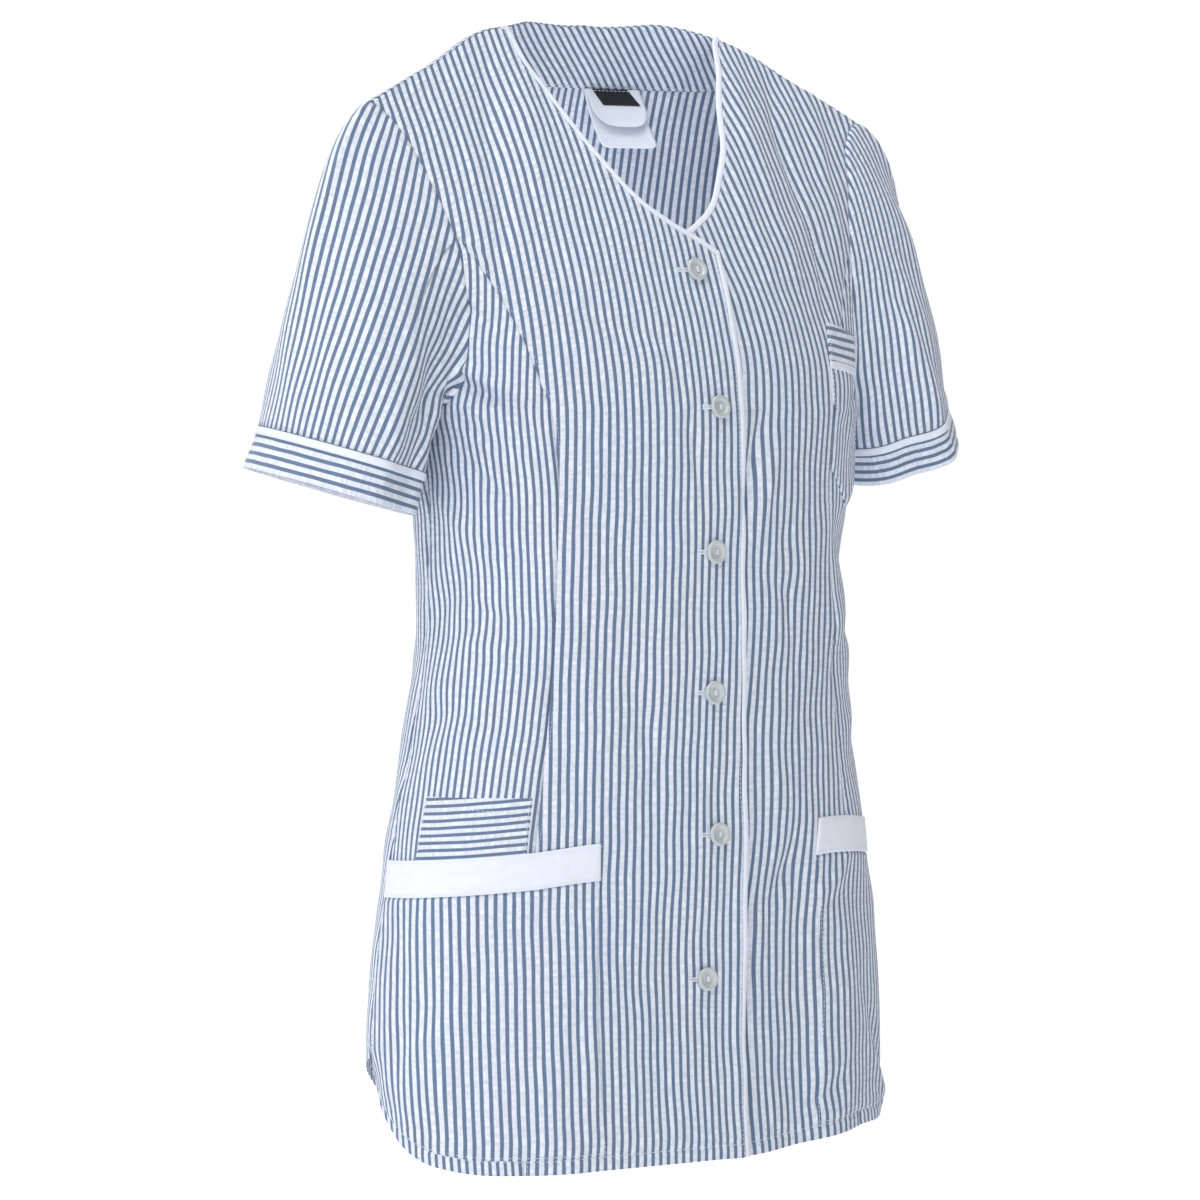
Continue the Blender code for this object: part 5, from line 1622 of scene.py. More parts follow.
@dataclass
class Sleeve:
    """A short sleeve with its cuff and the tape on it."""

    size: SleeveSize
    torso: Torso
    cuff_depth: float = CUFF_DEPTH
    tape_depth: float = TAPE_DEPTH
    flare: float = CUFF_FLARE

    def __post_init__(self) -> None:
        """Work out the sleeve's lattice."""
        size = self.size
        self.side = size.side.value
        self.ring, self.ring_normal, self.front_count = self.torso.ring(self.side)
        tilt, lean = math.radians(size.tilt), math.radians(size.lean)
        self.out = np.array([self.side * math.cos(tilt), 0.0, math.sin(tilt)])
        down = np.array([self.side * math.sin(tilt), 0.0, -math.cos(tilt)])
        ahead = np.array([0.0, -1.0, 0.0])
        self.ahead = ahead * math.cos(lean) - down * math.sin(lean)
        self.axis = down * math.cos(lean) + ahead * math.sin(lean)
        self.shares = np.concatenate([np.linspace(0.0, 0.14, 12)[:-1], np.linspace(0.14, 1.0, 38)])
        self.turn = self.turns()
        self.rings = self.lattice()
        along = np.gradient(self.rings, axis=0)
        across = np.roll(self.rings, -1, axis=1) - np.roll(self.rings, 1, axis=1)
        self.normals = unit(np.cross(across, along)) * self.side
        mitre = unit(self.ring_normal + self.normals[0])
        dot = (mitre * self.normals[0]).sum(axis=1, keepdims=True)
        self.mitre = mitre / np.maximum(dot, 0.62)

    def turns(self) -> np.ndarray:
        """Turn of each armhole point, 0 at the shoulder and a quarter turn in front.

        Returns:
            The turns.
        """
        run = run_along(np.vstack([self.ring, self.ring[:1]]))
        half = run[self.front_count]
        number = np.arange(len(self.ring))
        return np.where(number <= self.front_count, run[:-1] / half * math.pi,
                        math.pi + (run[:-1] - half) / (run[-1] - half) * math.pi)

    def folds(self, t: float) -> np.ndarray:
        """Outward offset of the folds at a share of the sleeve's length.

        Args:
            t: the share.

        Returns:
            The offset at each turn.
        """
        push = np.zeros(len(self.turn))
        degrees = np.degrees(self.turn)
        for side, path, half, depth in SLEEVE_FOLDS:
            if side in (0, self.side):
                places = [p[1] for p in path]
                middle = np.interp(t, places, [p[0] for p in path])
                gap = np.abs((degrees - middle + 180.0) % 360.0 - 180.0)
                push += depth * smoothstep((t - places[0]) / 0.3) * np.exp(-(gap / half) ** 2)
        ripple = (np.sin(5.0 * self.turn + 14.0 * t) * 0.0004
                  + np.sin(9.0 * self.turn - 21.0 * t) * 0.0003)
        return push + ripple * math.sin(math.pi * min(t * 1.2, 1.0) * 0.5)

    def lattice(self) -> np.ndarray:
        """Rings of points from the armhole to the top of the cuff.

        Returns:
            The rings.
        """
        size, turn, ring = self.size, self.turn, self.ring
        centre = np.array([self.side * size.x, size.y, size.z])
        radial = np.outer(np.cos(turn), self.out) + np.outer(np.sin(turn), self.ahead)
        foot = (centre + np.outer(np.cos(turn) * size.half_x, self.out)
                + np.outer(np.sin(turn) * size.half_y, self.ahead))
        tangent = unit(np.roll(ring, -1, axis=0) - np.roll(ring, 1, axis=0))
        leave = unit(np.cross(self.ring_normal, tangent)) * self.side
        space = np.linalg.norm(np.roll(ring, -1, axis=0) - ring, axis=1)
        run = np.cumsum(space)
        gap = np.abs(run[:, None] - run[None, :])
        gap = np.minimum(gap, run[-1] - gap)
        leave = unit(np.exp(-(gap / 0.014) ** 2) @ (leave * space[:, None]))
        crown = 0.5 + 0.5 * np.cos(turn)
        part = crown[:, None]
        start = unit(leave * 1.05 + self.axis * (0.75 - 0.25 * part)
                     + self.out * 0.45 * (1.0 - part)) * (0.050 + 0.090 * part)
        finish = self.axis * (0.060 + 0.150 * crown)[:, None]
        rings = []
        for t in self.shares:
            h01 = t * t * (3.0 - 2.0 * t)
            place = (ring * (1.0 - h01) + foot * h01 + start * t * (1.0 - t) ** 2
                     + finish * t * t * (t - 1.0))
            push = size.fullness * math.sin(math.pi * t ** 0.7) * crown + self.folds(float(t))
            rings.append(place + unit(radial) * push[:, None])
        return np.array(rings)

    def cut(self) -> np.ndarray:
        """Flat cut of the sleeve, opened along the underarm.

        Returns:
            Flat places with one column more than the rings have points.
        """
        start = self.front_count
        order = (np.arange(len(self.turn) + 1) + start) % len(self.turn)
        opened = self.rings[:, order]
        crown = opened.shape[1] - 1 - start
        up, over = runs(opened, 0)[:, crown], runs(opened, 1)[len(opened) * 2 // 3]
        rows, columns = even_places(up, 0.009), even_places(over, 0.0097)
        flat = flatten(opened[np.ix_(rows, columns)][::-1], 30)[::-1]
        middle = int(np.argmin(np.abs(columns - crown)))
        flat = grained(flat, (len(rows) - 1, middle), (len(rows) // 3, middle))
        turn = np.unwrap(self.turn[order])[None, :, None] * 0.045
        around = np.broadcast_to(turn, (*opened.shape[:2], 1))
        along = runs(opened, 0)[..., None]
        return refined(np.concatenate([opened, around, along], axis=2), rows, columns, flat)

    def build(self) -> dict:
        """Make the sleeve, the cuff and its tape.

        Returns:
            The objects by name.
        """
        word = self.size.side.word
        away = runs(self.rings, 0)
        around = runs(self.rings, 1)
        relief = -0.0006 * np.exp(-(away / 0.0013) ** 2)
        crown = 0.35 + 0.65 * (0.5 + 0.5 * np.cos(self.turn))[None, :]
        relief += 0.00055 * wave(around, 3.0 + self.side) * np.exp(-away / 0.014) * crown
        vectors = self.normals.copy()
        vectors[0] = self.mitre
        start = self.front_count
        order = (np.arange(len(self.turn)) + start) % len(self.turn)
        outer = (self.rings + vectors * (WALL / 2.0 + relief)[..., None])[:, order]
        inner = outer - vectors[:, order] * CLOTH_THICK
        mesher = Mesher("sleeve_" + word)
        flat = self.cut()
        mesher.slab(outer, inner, worn_grain(flat, mesher.name), True)
        return mesher.finish(STRIPED) | self.build_cuff(word)

    def build_cuff(self, word: str) -> dict:
        """Make the turned-up cuff and the tape on its head.

        Args:
            word: name of the side.

        Returns:
            The objects by name.
        """
        last = self.rings[-1]
        flat = unit(np.cross(np.roll(last, -1, axis=0) - np.roll(last, 1, axis=0), self.axis))
        flat *= np.sign((flat * (last - last.mean(axis=0))).sum(axis=1, keepdims=True))
        depth = self.cuff_depth + self.tape_depth
        down = np.concatenate([np.linspace(0.0002, depth - 0.0006, 16),
                               depth + np.array([-0.0002, 0.0, -0.0002]),
                               np.linspace(depth - 0.0006, 0.0002, 16)])
        half = WALL / 2.0
        out = np.concatenate([np.full(16, half), half * np.array([0.6, 0.0, -0.6]),
                              np.full(16, -half)])
        run = run_along(last)
        flare = smoothstep((down - self.tape_depth) / self.cuff_depth) * self.flare
        puff = 0.0003 * np.sin(down / depth * math.pi)[:, None] * wave(run, 5.0)[None, :]
        rows = (last[None] + self.axis * down[:, None, None]
                + flat[None] * (out + flare)[:, None, None] + flat[None] * puff[..., None])
        total = float(run[-1] + np.linalg.norm(last[0] - last[-1]))
        around = np.append(run, total)
        mesher = Mesher("cuff_" + word)
        index = mesher.add(rows)
        index = np.concatenate([index, index[:, :1]], axis=1)
        index = np.concatenate([index, index[:1]], axis=0)
        lengths = np.append(down, down[0])
        cut = np.stack(np.broadcast_arrays(lengths[:, None] + 0.00235, around[None, :]), axis=-1)
        mesher.skin(index, cut)
        made = mesher.finish(STRIPED)
        tape = Mesher("cuff_tape_" + word)
        across = np.array([0.0006, 0.0009, 0.0018, 0.0034, 0.0048, 0.0056, 0.0058])
        rise = np.array([0.0001, 0.0007, 0.0009, 0.00095, 0.0009, 0.0007, 0.0001])
        base = half + 0.0002
        grid = (last[None] + self.axis * across[:, None, None]
                + flat[None] * (base + rise)[:, None, None]
                + flat[None] * (0.00012 * wave(run, 1.0))[None, :, None])
        under = last[None] + self.axis * across[:, None, None] + flat[None] * base
        cut = np.stack(np.broadcast_arrays(across[:, None], around[None, :]), axis=-1)
        tape.slab(grid, under, cut, True)
        made.update(tape.finish(WHITE))
        lines = [last + self.axis * d + flat * (base + 0.0010) for d in (0.0016, 0.0048)]
        made.update(stitches("cuff_stitches_" + word, [np.vstack([l, l[:1]]) for l in lines]))
        return made


# ---------------------------------------------------------------- stitches
@cache
def stitch_tree() -> bpy.types.NodeTree:
    """Geometry nodes that lay one stitch of thread at every pitch along lines.

    Returns:
        The tree.
    """
    g = Graph.group("StitchLine", "Geometry", {
        "Lines": ("Geometry", None), "Pitch": ("Float", 0.003), "Length": ("Float", 0.0024),
        "Radius": ("Float", 0.0002), "Jitter": ("Float", 0.12), "Seed": ("Int", 7),
        "Fixed": ("Bool", False), "Lay": ("Vector", (0.0, 0.0, 1.0)), "Thread": ("Material", None),
    }, {"Stitches": "Geometry"})
    given = g.node("NodeGroupInput").outputs
    curve = g.node("GeometryNodeMeshToCurve", {0: given["Lines"]}).outputs[0]
    spots = g.node("GeometryNodeCurveToPoints", {"Curve": curve, "Length": given["Pitch"]},
                   mode="LENGTH")
    ball = g.node("GeometryNodeMeshUVSphere", {"Segments": 6, "Rings": 4, "Radius": 1.0})
    vary = g.node("FunctionNodeRandomValue", {"Seed": given["Seed"]}, data_type="FLOAT")
    vary.inputs[2].default_value = -1.0
    vary.inputs[3].default_value = 1.0
    swing = g.math("MULTIPLY", vary.outputs[1], given["Jitter"])
    long = g.math("MULTIPLY", g.math("MULTIPLY", given["Length"], 0.5), g.math("ADD", swing, 1.0))
    thin = given["Radius"]
    size = g.node("ShaderNodeCombineXYZ", {0: thin, 1: thin, 2: long}).outputs[0]
    lay = g.node("GeometryNodeSwitch", {"Switch": given["Fixed"]}, input_type="VECTOR")
    g.feed(lay.inputs[1], spots.outputs["Tangent"])
    g.feed(lay.inputs[2], given["Lay"])
    turned = g.node("FunctionNodeAlignRotationToVector", {"Vector": lay.outputs[0]}, axis="Z")
    inputs = {"Points": spots.outputs["Points"], "Instance": ball.outputs["Mesh"],
              "Rotation": turned.outputs[0], "Scale": size}
    laid = g.node("GeometryNodeInstanceOnPoints", inputs).outputs[0]
    real = g.node("GeometryNodeRealizeInstances", {0: laid}).outputs[0]
    smooth = g.node("GeometryNodeSetShadeSmooth", {0: real}).outputs[0]
    coloured = g.node("GeometryNodeSetMaterial", {"Geometry": smooth, "Material": given["Thread"]})
    g.node("NodeGroupOutput", {0: coloured.outputs[0]})
    return g.tree


def stitches(name: str, lines: list, finish: object = THREAD, **settings: float) -> dict:
    """Lay thread stitches along lines as one piece.

    Args:
        name: name of the piece.
        lines: arrays of points.
        finish: finish of the thread.
        settings: values for the named inputs of the stitch tree.

    Returns:
        The object by name.
    """
    points = np.concatenate(lines)
    edges, start = [], 0
    for line in lines:
        edges += [(start + i, start + i + 1) for i in range(len(line) - 1)]
        start += len(line)
    mesh = bpy.data.meshes.new(name + "_lines")
    mesh.from_pydata([tuple(p) for p in points], edges, [])
    item = linked(name + "_lines", mesh)
    modifier = item.modifiers.new("Stitches", "NODES")
    modifier.node_group = stitch_tree()
    values = dict(settings, Thread=finish.material())
    for socket in modifier.node_group.interface.items_tree:
        if socket.in_out == "INPUT" and socket.name in values:
            modifier[socket.identifier] = values[socket.name]
    return place(name, evaluated(item, name), finish, False)


# ---------------------------------------------------------------- binding
@dataclass
class Binding:
    """The white binding along the neckline and the front edge of one front."""

    side: Side
    front: Lattice
    width: float = 0.0048
    profile: tuple = (
        (-0.0003, 0.00072), (-0.0002, 0.00105), (0.0003, 0.00125), (0.0011, 0.00135),
        (0.0022, 0.00130), (0.0032, 0.00105), (0.0037, 0.00050), (0.0037, -0.00040),
        (0.0032, -0.00085), (0.0022, -0.00100), (0.0011, -0.00100), (0.0003, -0.00090),
        (-0.0002, -0.00080), (-0.0003, -0.00060))

    def __post_init__(self) -> None:
        """Work out its line and the directions along it."""
        front = self.front
        self.line = front.points[::-1, 0]
        self.normal = front.normals[::-1, 0]
        steps = unit(np.diff(self.line, axis=0))
        self.along = np.vstack([steps, steps[-1:]])
        first = unit(np.cross(np.vstack([steps[:1], steps]), self.normal))
        second = unit(np.cross(self.along, self.normal))
        inward = front.points[::-1, 3] - self.line
        first *= -np.sign((first * inward).sum(axis=1, keepdims=True))
        second *= -np.sign((second * inward).sum(axis=1, keepdims=True))
        away = unit(first + second)
        self.away = away / np.maximum((away * first).sum(axis=1, keepdims=True), 0.6)
        self.run = run_along(self.line)

    def spot(self, across: float, height: float) -> np.ndarray:
        """Line of points at a place of the profile, drawn back at the shoulder seam.

        Args:
            across: how far past the edge it lies.
            height: how far off the middle of the cloth.

        Returns:
            The points.
        """
        need = 0.0004 + 0.0028 * max(across, 0.0) / self.width
        drawn = need * np.clip(1.0 - self.run / 0.012, 0.0, 1.0) ** 2
        uneven = 0.00010 * wave(self.run, 2.0 + self.side.value) * (1.0 if height > 0.0 else -1.0)
        return (self.line + self.away * across + self.normal * (height + uneven)[:, None]
                + self.along * drawn[:, None])

    def build(self) -> dict:
        """Make the binding and its stitches.

        Returns:
            The objects by name.
        """
        mesher = Mesher("edge_binding_" + self.side.word)
        run = np.array([0.0008 * k for k in range(len(self.profile) + 1)])
        flat = np.stack(np.broadcast_arrays(run[:, None], self.run[None, :]), axis=-1)
        mesher.tube(np.array([self.spot(*place) for place in self.profile]), flat)
        line = self.front.inset("first", 0.0020, WALL / 2.0 + 0.0001)
        return mesher.finish(WHITE) | stitches("binding_stitches_" + self.side.word, [line],
                                               Radius=0.00018)


# ---------------------------------------------------------------- pockets and other patches
def clustered(count: int, weight: float = 0.6) -> np.ndarray:
    """Shares from 0 to 1 that lie closer together at both ends."""
    t = np.linspace(0.0, 1.0, count)
    return weight * 0.5 * (1.0 - np.cos(np.pi * t)) + (1.0 - weight) * t


def patch_relief(lattice: Lattice, stitch: float = 0.0018, turned: float = 0.00022,
                 seed: float = 1.0, free: Sequence[str] = ()) -> np.ndarray:
    """Offset of a patch: rounded edges, turned-in allowance, stitch groove and puckers.

    Args:
        lattice: the patch.
        stitch: distance of its stitches from its edges.
        turned: extra height of its turned-in allowance.
        seed: start of the puckers.
        free: borders without stitches.

    Returns:
        Outward offsets in metres.
    """
    up, over = runs(lattice.points, 0), runs(lattice.points, 1)
    distance = {"foot": up, "top": up[-1:] - up, "first": over, "last": over[:, -1:] - over}
    total = np.zeros(up.shape)
    nearest = np.full(up.shape, 1e9)
    for name, away in distance.items():
        rest = 1.0 - np.clip(away / 0.0009, 0, 1)
        total -= 0.0006 * (1.0 - np.sqrt(np.clip(1.0 - rest ** 2, 0, 1)))
        if name not in free:
            nearest = np.minimum(nearest, away)
    total += turned * smoothstep((0.0085 - nearest) / 0.0025)
    total -= 0.00012 * np.exp(-((nearest - stitch) / 0.0008) ** 2)
    along = np.where(np.minimum(over, distance["last"]) < np.minimum(up, distance["top"]), up, over)
    total += 0.00016 * wave(along, seed) * np.exp(-((nearest - stitch) / 0.0045) ** 2)
    return np.maximum(total, -0.0007)


LAYER = 0.0007
PATCH_LIFT = WALL / 2.0 + LAYER
STITCH_LIFT = 0.0003
STITCH_IN = 0.0018

# Inner edge of each hip pocket in degrees: at its foot, at its band's foot and at its top.
HIP_EDGES = {Side.RIGHT: (25.3, 28.3, 28.9), Side.LEFT: (26.5, 28.8, 30.6)}


@dataclass
class HipPocket:
    """A hip pocket: its patch, its white band and, on the right, the phone pocket.

    The inner edge is given in degrees at the foot, at the band's foot and at its top, the outer
    one as a column, and the edges of the phone pocket in degrees.
    """

    side: Side
    torso: Torso
    inner: tuple
    outer: float = 15.85
    phone_edges: tuple = (46.3, 83.2)

    def __post_init__(self) -> None:
        """Find the cloth it lies on."""
        self.joined = self.torso.joined[self.side.value]
        self.lift = PATCH_LIFT + (LAYER if self.side == Side.RIGHT else 0.0)

    def piece(self, rows: np.ndarray, turns: np.ndarray, end: float, count: int) -> Lattice:
        """Lattice of a piece from an inner edge to an outer one.

        Args:
            rows: its row numbers.
            turns: angle in degrees at which each row starts.
            end: column where they end.
            count: how many columns it has.

        Returns:
            The lattice.
        """
        share = clustered(count, 0.45)
        self.starts = np.array([Cut.column_at(row, turn) for row, turn in zip(rows, turns)])
        return self.joined.patch(rows, np.array([a + (end - a) * share for a in self.starts]))

    def build(self) -> dict:
        """Make the pieces of the pocket and its stitches.

        Returns:
            The objects by name.
        """
        side, word = self.side.value, self.side.word
        foot, waist, top = self.inner
        rows = 1.0 + clustered(72, 0.3) * (BAND_FOOT_ROW - 1.0)
        turns = np.interp(rows, (1.0, BAND_FOOT_ROW), (foot, waist))
        patch = self.piece(rows, turns, self.outer, 64)
        patch.follow(self.torso.fronts[side], rows, self.starts, GRAIN["front_" + word][0])
        relief = patch_relief(patch, seed=3.0 + side, free=("top",))
        relief -= (0.0005 * smoothstep(1.0 - runs(patch.points, 0) / 0.008))
        share = (rows - 1.0) / (BAND_FOOT_ROW - 1.0)
        relief += ((self.lift - PATCH_LIFT) * smoothstep((share - 0.86) / 0.14))[:, None]
        across = np.linspace(0.0, 1.0, relief.shape[1])[None, :]
        belly = np.sin(np.pi * np.clip(share, 0, 1))[:, None] ** 2
        relief += 0.0012 * np.sin(np.pi * across) * belly
        made = shell("lower_pocket_" + word, patch, relief, STRIPED, lift=PATCH_LIFT)
        over = PATCH_LIFT + STITCH_LIFT
        lines = patch.insets(("first", "foot", "last"), STITCH_IN, over)
        rows = BAND_FOOT_ROW + clustered(16) * (BAND_TOP_ROW - BAND_FOOT_ROW)
        turns = np.interp(rows, (BAND_FOOT_ROW, BAND_TOP_ROW), (waist, top))
        band = self.piece(rows, turns, self.outer, 64)
        relief = patch_relief(band, turned=0.0, seed=5.0 + side)
        made.update(shell("pocket_band_" + word, band, relief, WHITE, lift=self.lift + LAYER,
                          thick=0.0009))
        lines += band.insets(("foot", "top"), STITCH_IN, self.lift + LAYER + STITCH_LIFT)
        if self.side == Side.RIGHT:
            made.update(self.build_phone())
            lines += [self.phone.inset(border, 0.0016, over, 0.3) for border in ("first", "last")]
            lines += [self.phone.inset("top", 0.0085, over)]
        return made | stitches("pocket_stitches_" + word, lines)

    def build_phone(self) -> dict:
        """Make the phone pocket behind the right band, its stripes crosswise.

        Returns:
            The object by name.
        """
        rows = (BAND_FOOT_ROW + 0.4) + clustered(34, 0.4) * (PHONE_TOP_ROW - BAND_FOOT_ROW - 0.4)
        inner, outer = self.phone_edges
        end = Cut.column_at(BAND_TOP_ROW, outer)
        self.phone = self.piece(rows, np.full(len(rows), inner), end, 40)
        self.phone.uv = self.phone.uv[..., ::-1] * np.array([1.2, 1.0]) + np.array([0.0012, 0.0])
        relief = patch_relief(self.phone, 0.0016, seed=2.0, free=("top", "foot"))
        return shell("phone_pocket", self.phone, relief, STRIPED, lift=PATCH_LIFT)


@dataclass
class ChestPocket:
    """The chest pocket of the wearer's left, its crosswise band and its white tape.

    Its heights are levels, and its edges angles in degrees by level.
    """

    torso: Torso
    top: float = 0.295
    band: float = 0.196
    foot: float = -0.038
    point: float = -0.062
    inner: Curve = Curve((-0.07, 0.0, 0.10, 0.30), (42.0, 40.8, 39.3, 39.2))
    outer: Curve = Curve((-0.07, 0.0, 0.10, 0.30), (67.5, 66.0, 62.0, 57.0))

    def piece(self, levels: np.ndarray) -> Lattice:
        """Lattice between the pocket's edges.

        Args:
            levels: level at each row and column.

        Returns:
            The lattice.
        """
        share = clustered(levels.shape[1], 0.4)
        rows = np.vectorize(Cut.row_at)(levels)
        columns = np.zeros(levels.shape)
        for i, j in np.ndindex(levels.shape):
            inner, outer = float(self.inner(levels[i, j])), float(self.outer(levels[i, j]))
            columns[i, j] = Cut.column_at(rows[i, j], inner + (outer - inner) * share[j])
        self.start = rows[:, 0], columns[:, 0]
        return self.torso.joined[1].patch(rows, columns)

    def build(self) -> dict:
        """Make the pieces of the pocket and its stitches.

        Returns:
            The objects by name.
        """
        share = clustered(36, 0.4)
        rise = np.clip(np.abs(share - 0.5) * 2.0 - 0.10, 0.0, 1.0) / 0.90
        foot = self.point + (self.foot - self.point) * rise
        levels = foot[None, :] + (self.band - foot)[None, :] * clustered(40, 0.4)[:, None]
        patch = self.piece(levels)
        patch.follow(self.torso.fronts[1], *self.start, GRAIN["front_left"][0])
        lift = PATCH_LIFT + STITCH_LIFT
        relief = patch_relief(patch, seed=7.0, free=("top",))
        made = shell("chest_pocket", patch, relief, STRIPED, lift=lift)
        lines = patch.insets(("first", "foot", "last"), STITCH_IN, lift + STITCH_LIFT)
        rise = self.band + clustered(22, 0.4) * (self.top - self.band)
        band = self.piece(np.repeat(rise[:, None], 36, axis=1))
        band.uv = band.uv[..., ::-1] + np.array([0.0020, 0.0])
        relief = patch_relief(band, seed=8.0, free=("foot",))
        made.update(shell("chest_pocket_band", band, relief, STRIPED, lift=lift))
        lines += band.insets(("first", "last", "top"), STITCH_IN, lift + STITCH_LIFT)
        up = unit(band.points[4] - band.points[0])
        across = np.linspace(-0.7, 0.3, 9)[:, None, None] * TAPE_DEPTH
        grid = band.points[0][None] + up[None] * across
        tape = Lattice.plain(grid, np.repeat(band.normals[:1], 9, axis=0))
        relief = patch_relief(tape, 0.0011, 0.0, 9.0, ("first", "last"))
        made.update(shell("chest_pocket_tape", tape, relief, WHITE, lift=lift + LAYER,
                          thick=0.0006))
        lines += tape.insets(("foot", "top"), 0.0011, lift + 0.0009)
        return made | stitches("chest_stitches", lines)


# ---------------------------------------------------------------- neck facing and labels
@dataclass
class Neck:
    """The facing inside the back neck and the two bare labels under it."""

    back: Lattice
    facing_foot: float = -0.0335
    label_x: float = 0.036

    def build(self) -> dict:
        """Make the facing, the labels and their stitches.

        Returns:
            The objects by name.
        """
        back = self.back
        columns = np.linspace(4.0, 12.0, 81)
        rows = np.linspace(LAST_ROW - 7.0, LAST_ROW, 200)
        heights = back.at(rows[:, None], columns[None, :])[..., 2]
        feet = np.array([np.interp(self.facing_foot, height, rows) for height in heights.T])
        share = clustered(26, 0.3)[:, None]
        grid_rows = feet[None, :] + (LAST_ROW - 0.04 - feet)[None, :] * share
        grid_columns = np.repeat(columns[None, :], 26, axis=0)
        facing = back.patch(grid_rows, grid_columns)
        u, v = facing.uv[..., 0], facing.uv[..., 1]
        lean = np.radians(52.0 - 30.0 * (u / u.max()))
        facing.uv = np.stack([u * np.cos(lean) + v * np.sin(lean), v], axis=-1)
        inner = -WALL / 2.0 - 0.0001
        made = shell("back_neck_facing", facing, 0.0, STRIPED, lift=inner + 0.0005)
        made.update(stitches("facing_stitches", [facing.inset("foot", 0.0016, inner - 0.0002)]))
        return made | self.build_labels(facing.points[0] + facing.normals[0] * inner)

    def build_labels(self, foot: np.ndarray) -> dict:
        """Make the folded white label and the dark one on it.

        Args:
            foot: points of the facing's lower edge.

        Returns:
            The objects by name.
        """
        ahead, below = np.array([0.0, -1.0, 0.0]), np.array([0.0, 0.0, -1.0])
        order = np.argsort(foot[:, 0])
        layers = Mesher("care_label")
        for length, width, corner, curl, gap, count in ((0.040, 0.021, 0.005, 0.016, 0.0, 26),
                                                        (0.0255, 0.0205, 0.014, 0.011, 0.0014, 22)):
            down = np.linspace(0.0, length, count)
            rest = np.clip(1.0 - (length - down) / corner, 0.0, 1.0)
            half = width - corner * (1.0 - np.sqrt(1.0 - rest ** 2))
            across = half[:, None] * np.linspace(-1.0, 1.0, 24)[None, :] + 0.10 * down[:, None]
            x = self.label_x + across
            y, z = (np.interp(x, foot[order, 0], foot[order, axis]) for axis in (1, 2))
            out = (curl * (down / length) ** 1.6
                   + gap * np.sin(np.pi * np.clip(down / length, 0, 0.6)))
            out = out[:, None] + 0.0012 * np.sin(across / 0.021 * 2.2) * (down / length)[:, None]
            path = (np.stack([x, y, z], axis=-1) + below * down[:, None, None]
                    + ahead * (out[..., None] + 0.0008 + gap))
            normal = unit(np.cross(np.gradient(path, axis=1), np.gradient(path, axis=0)))
            normal *= np.sign((normal * ahead).sum(axis=-1, keepdims=True))
            sheet = Lattice.plain(path, normal)
            layers.slab(path + normal * 0.00015, path - normal * 0.00015, sheet.uv)
        top = path[0]
        made = layers.finish(WHITE)
        rows = np.linspace(0.15, 9.2, 14)[:, None]
        left = np.interp(rows[:, 0], (0.15, 9.2), (2.6, 5.6))
        columns = left[:, None] + np.linspace(0.0, 15.5, 14)[None, :]
        dark = sheet.patch(rows, columns)
        made.update(shell("size_label", dark, 0.0, BLACK, lift=0.0007, thick=0.0004))
        return made | stitches("label_stitches", [top + ahead * 0.0016 + below * 0.0012])


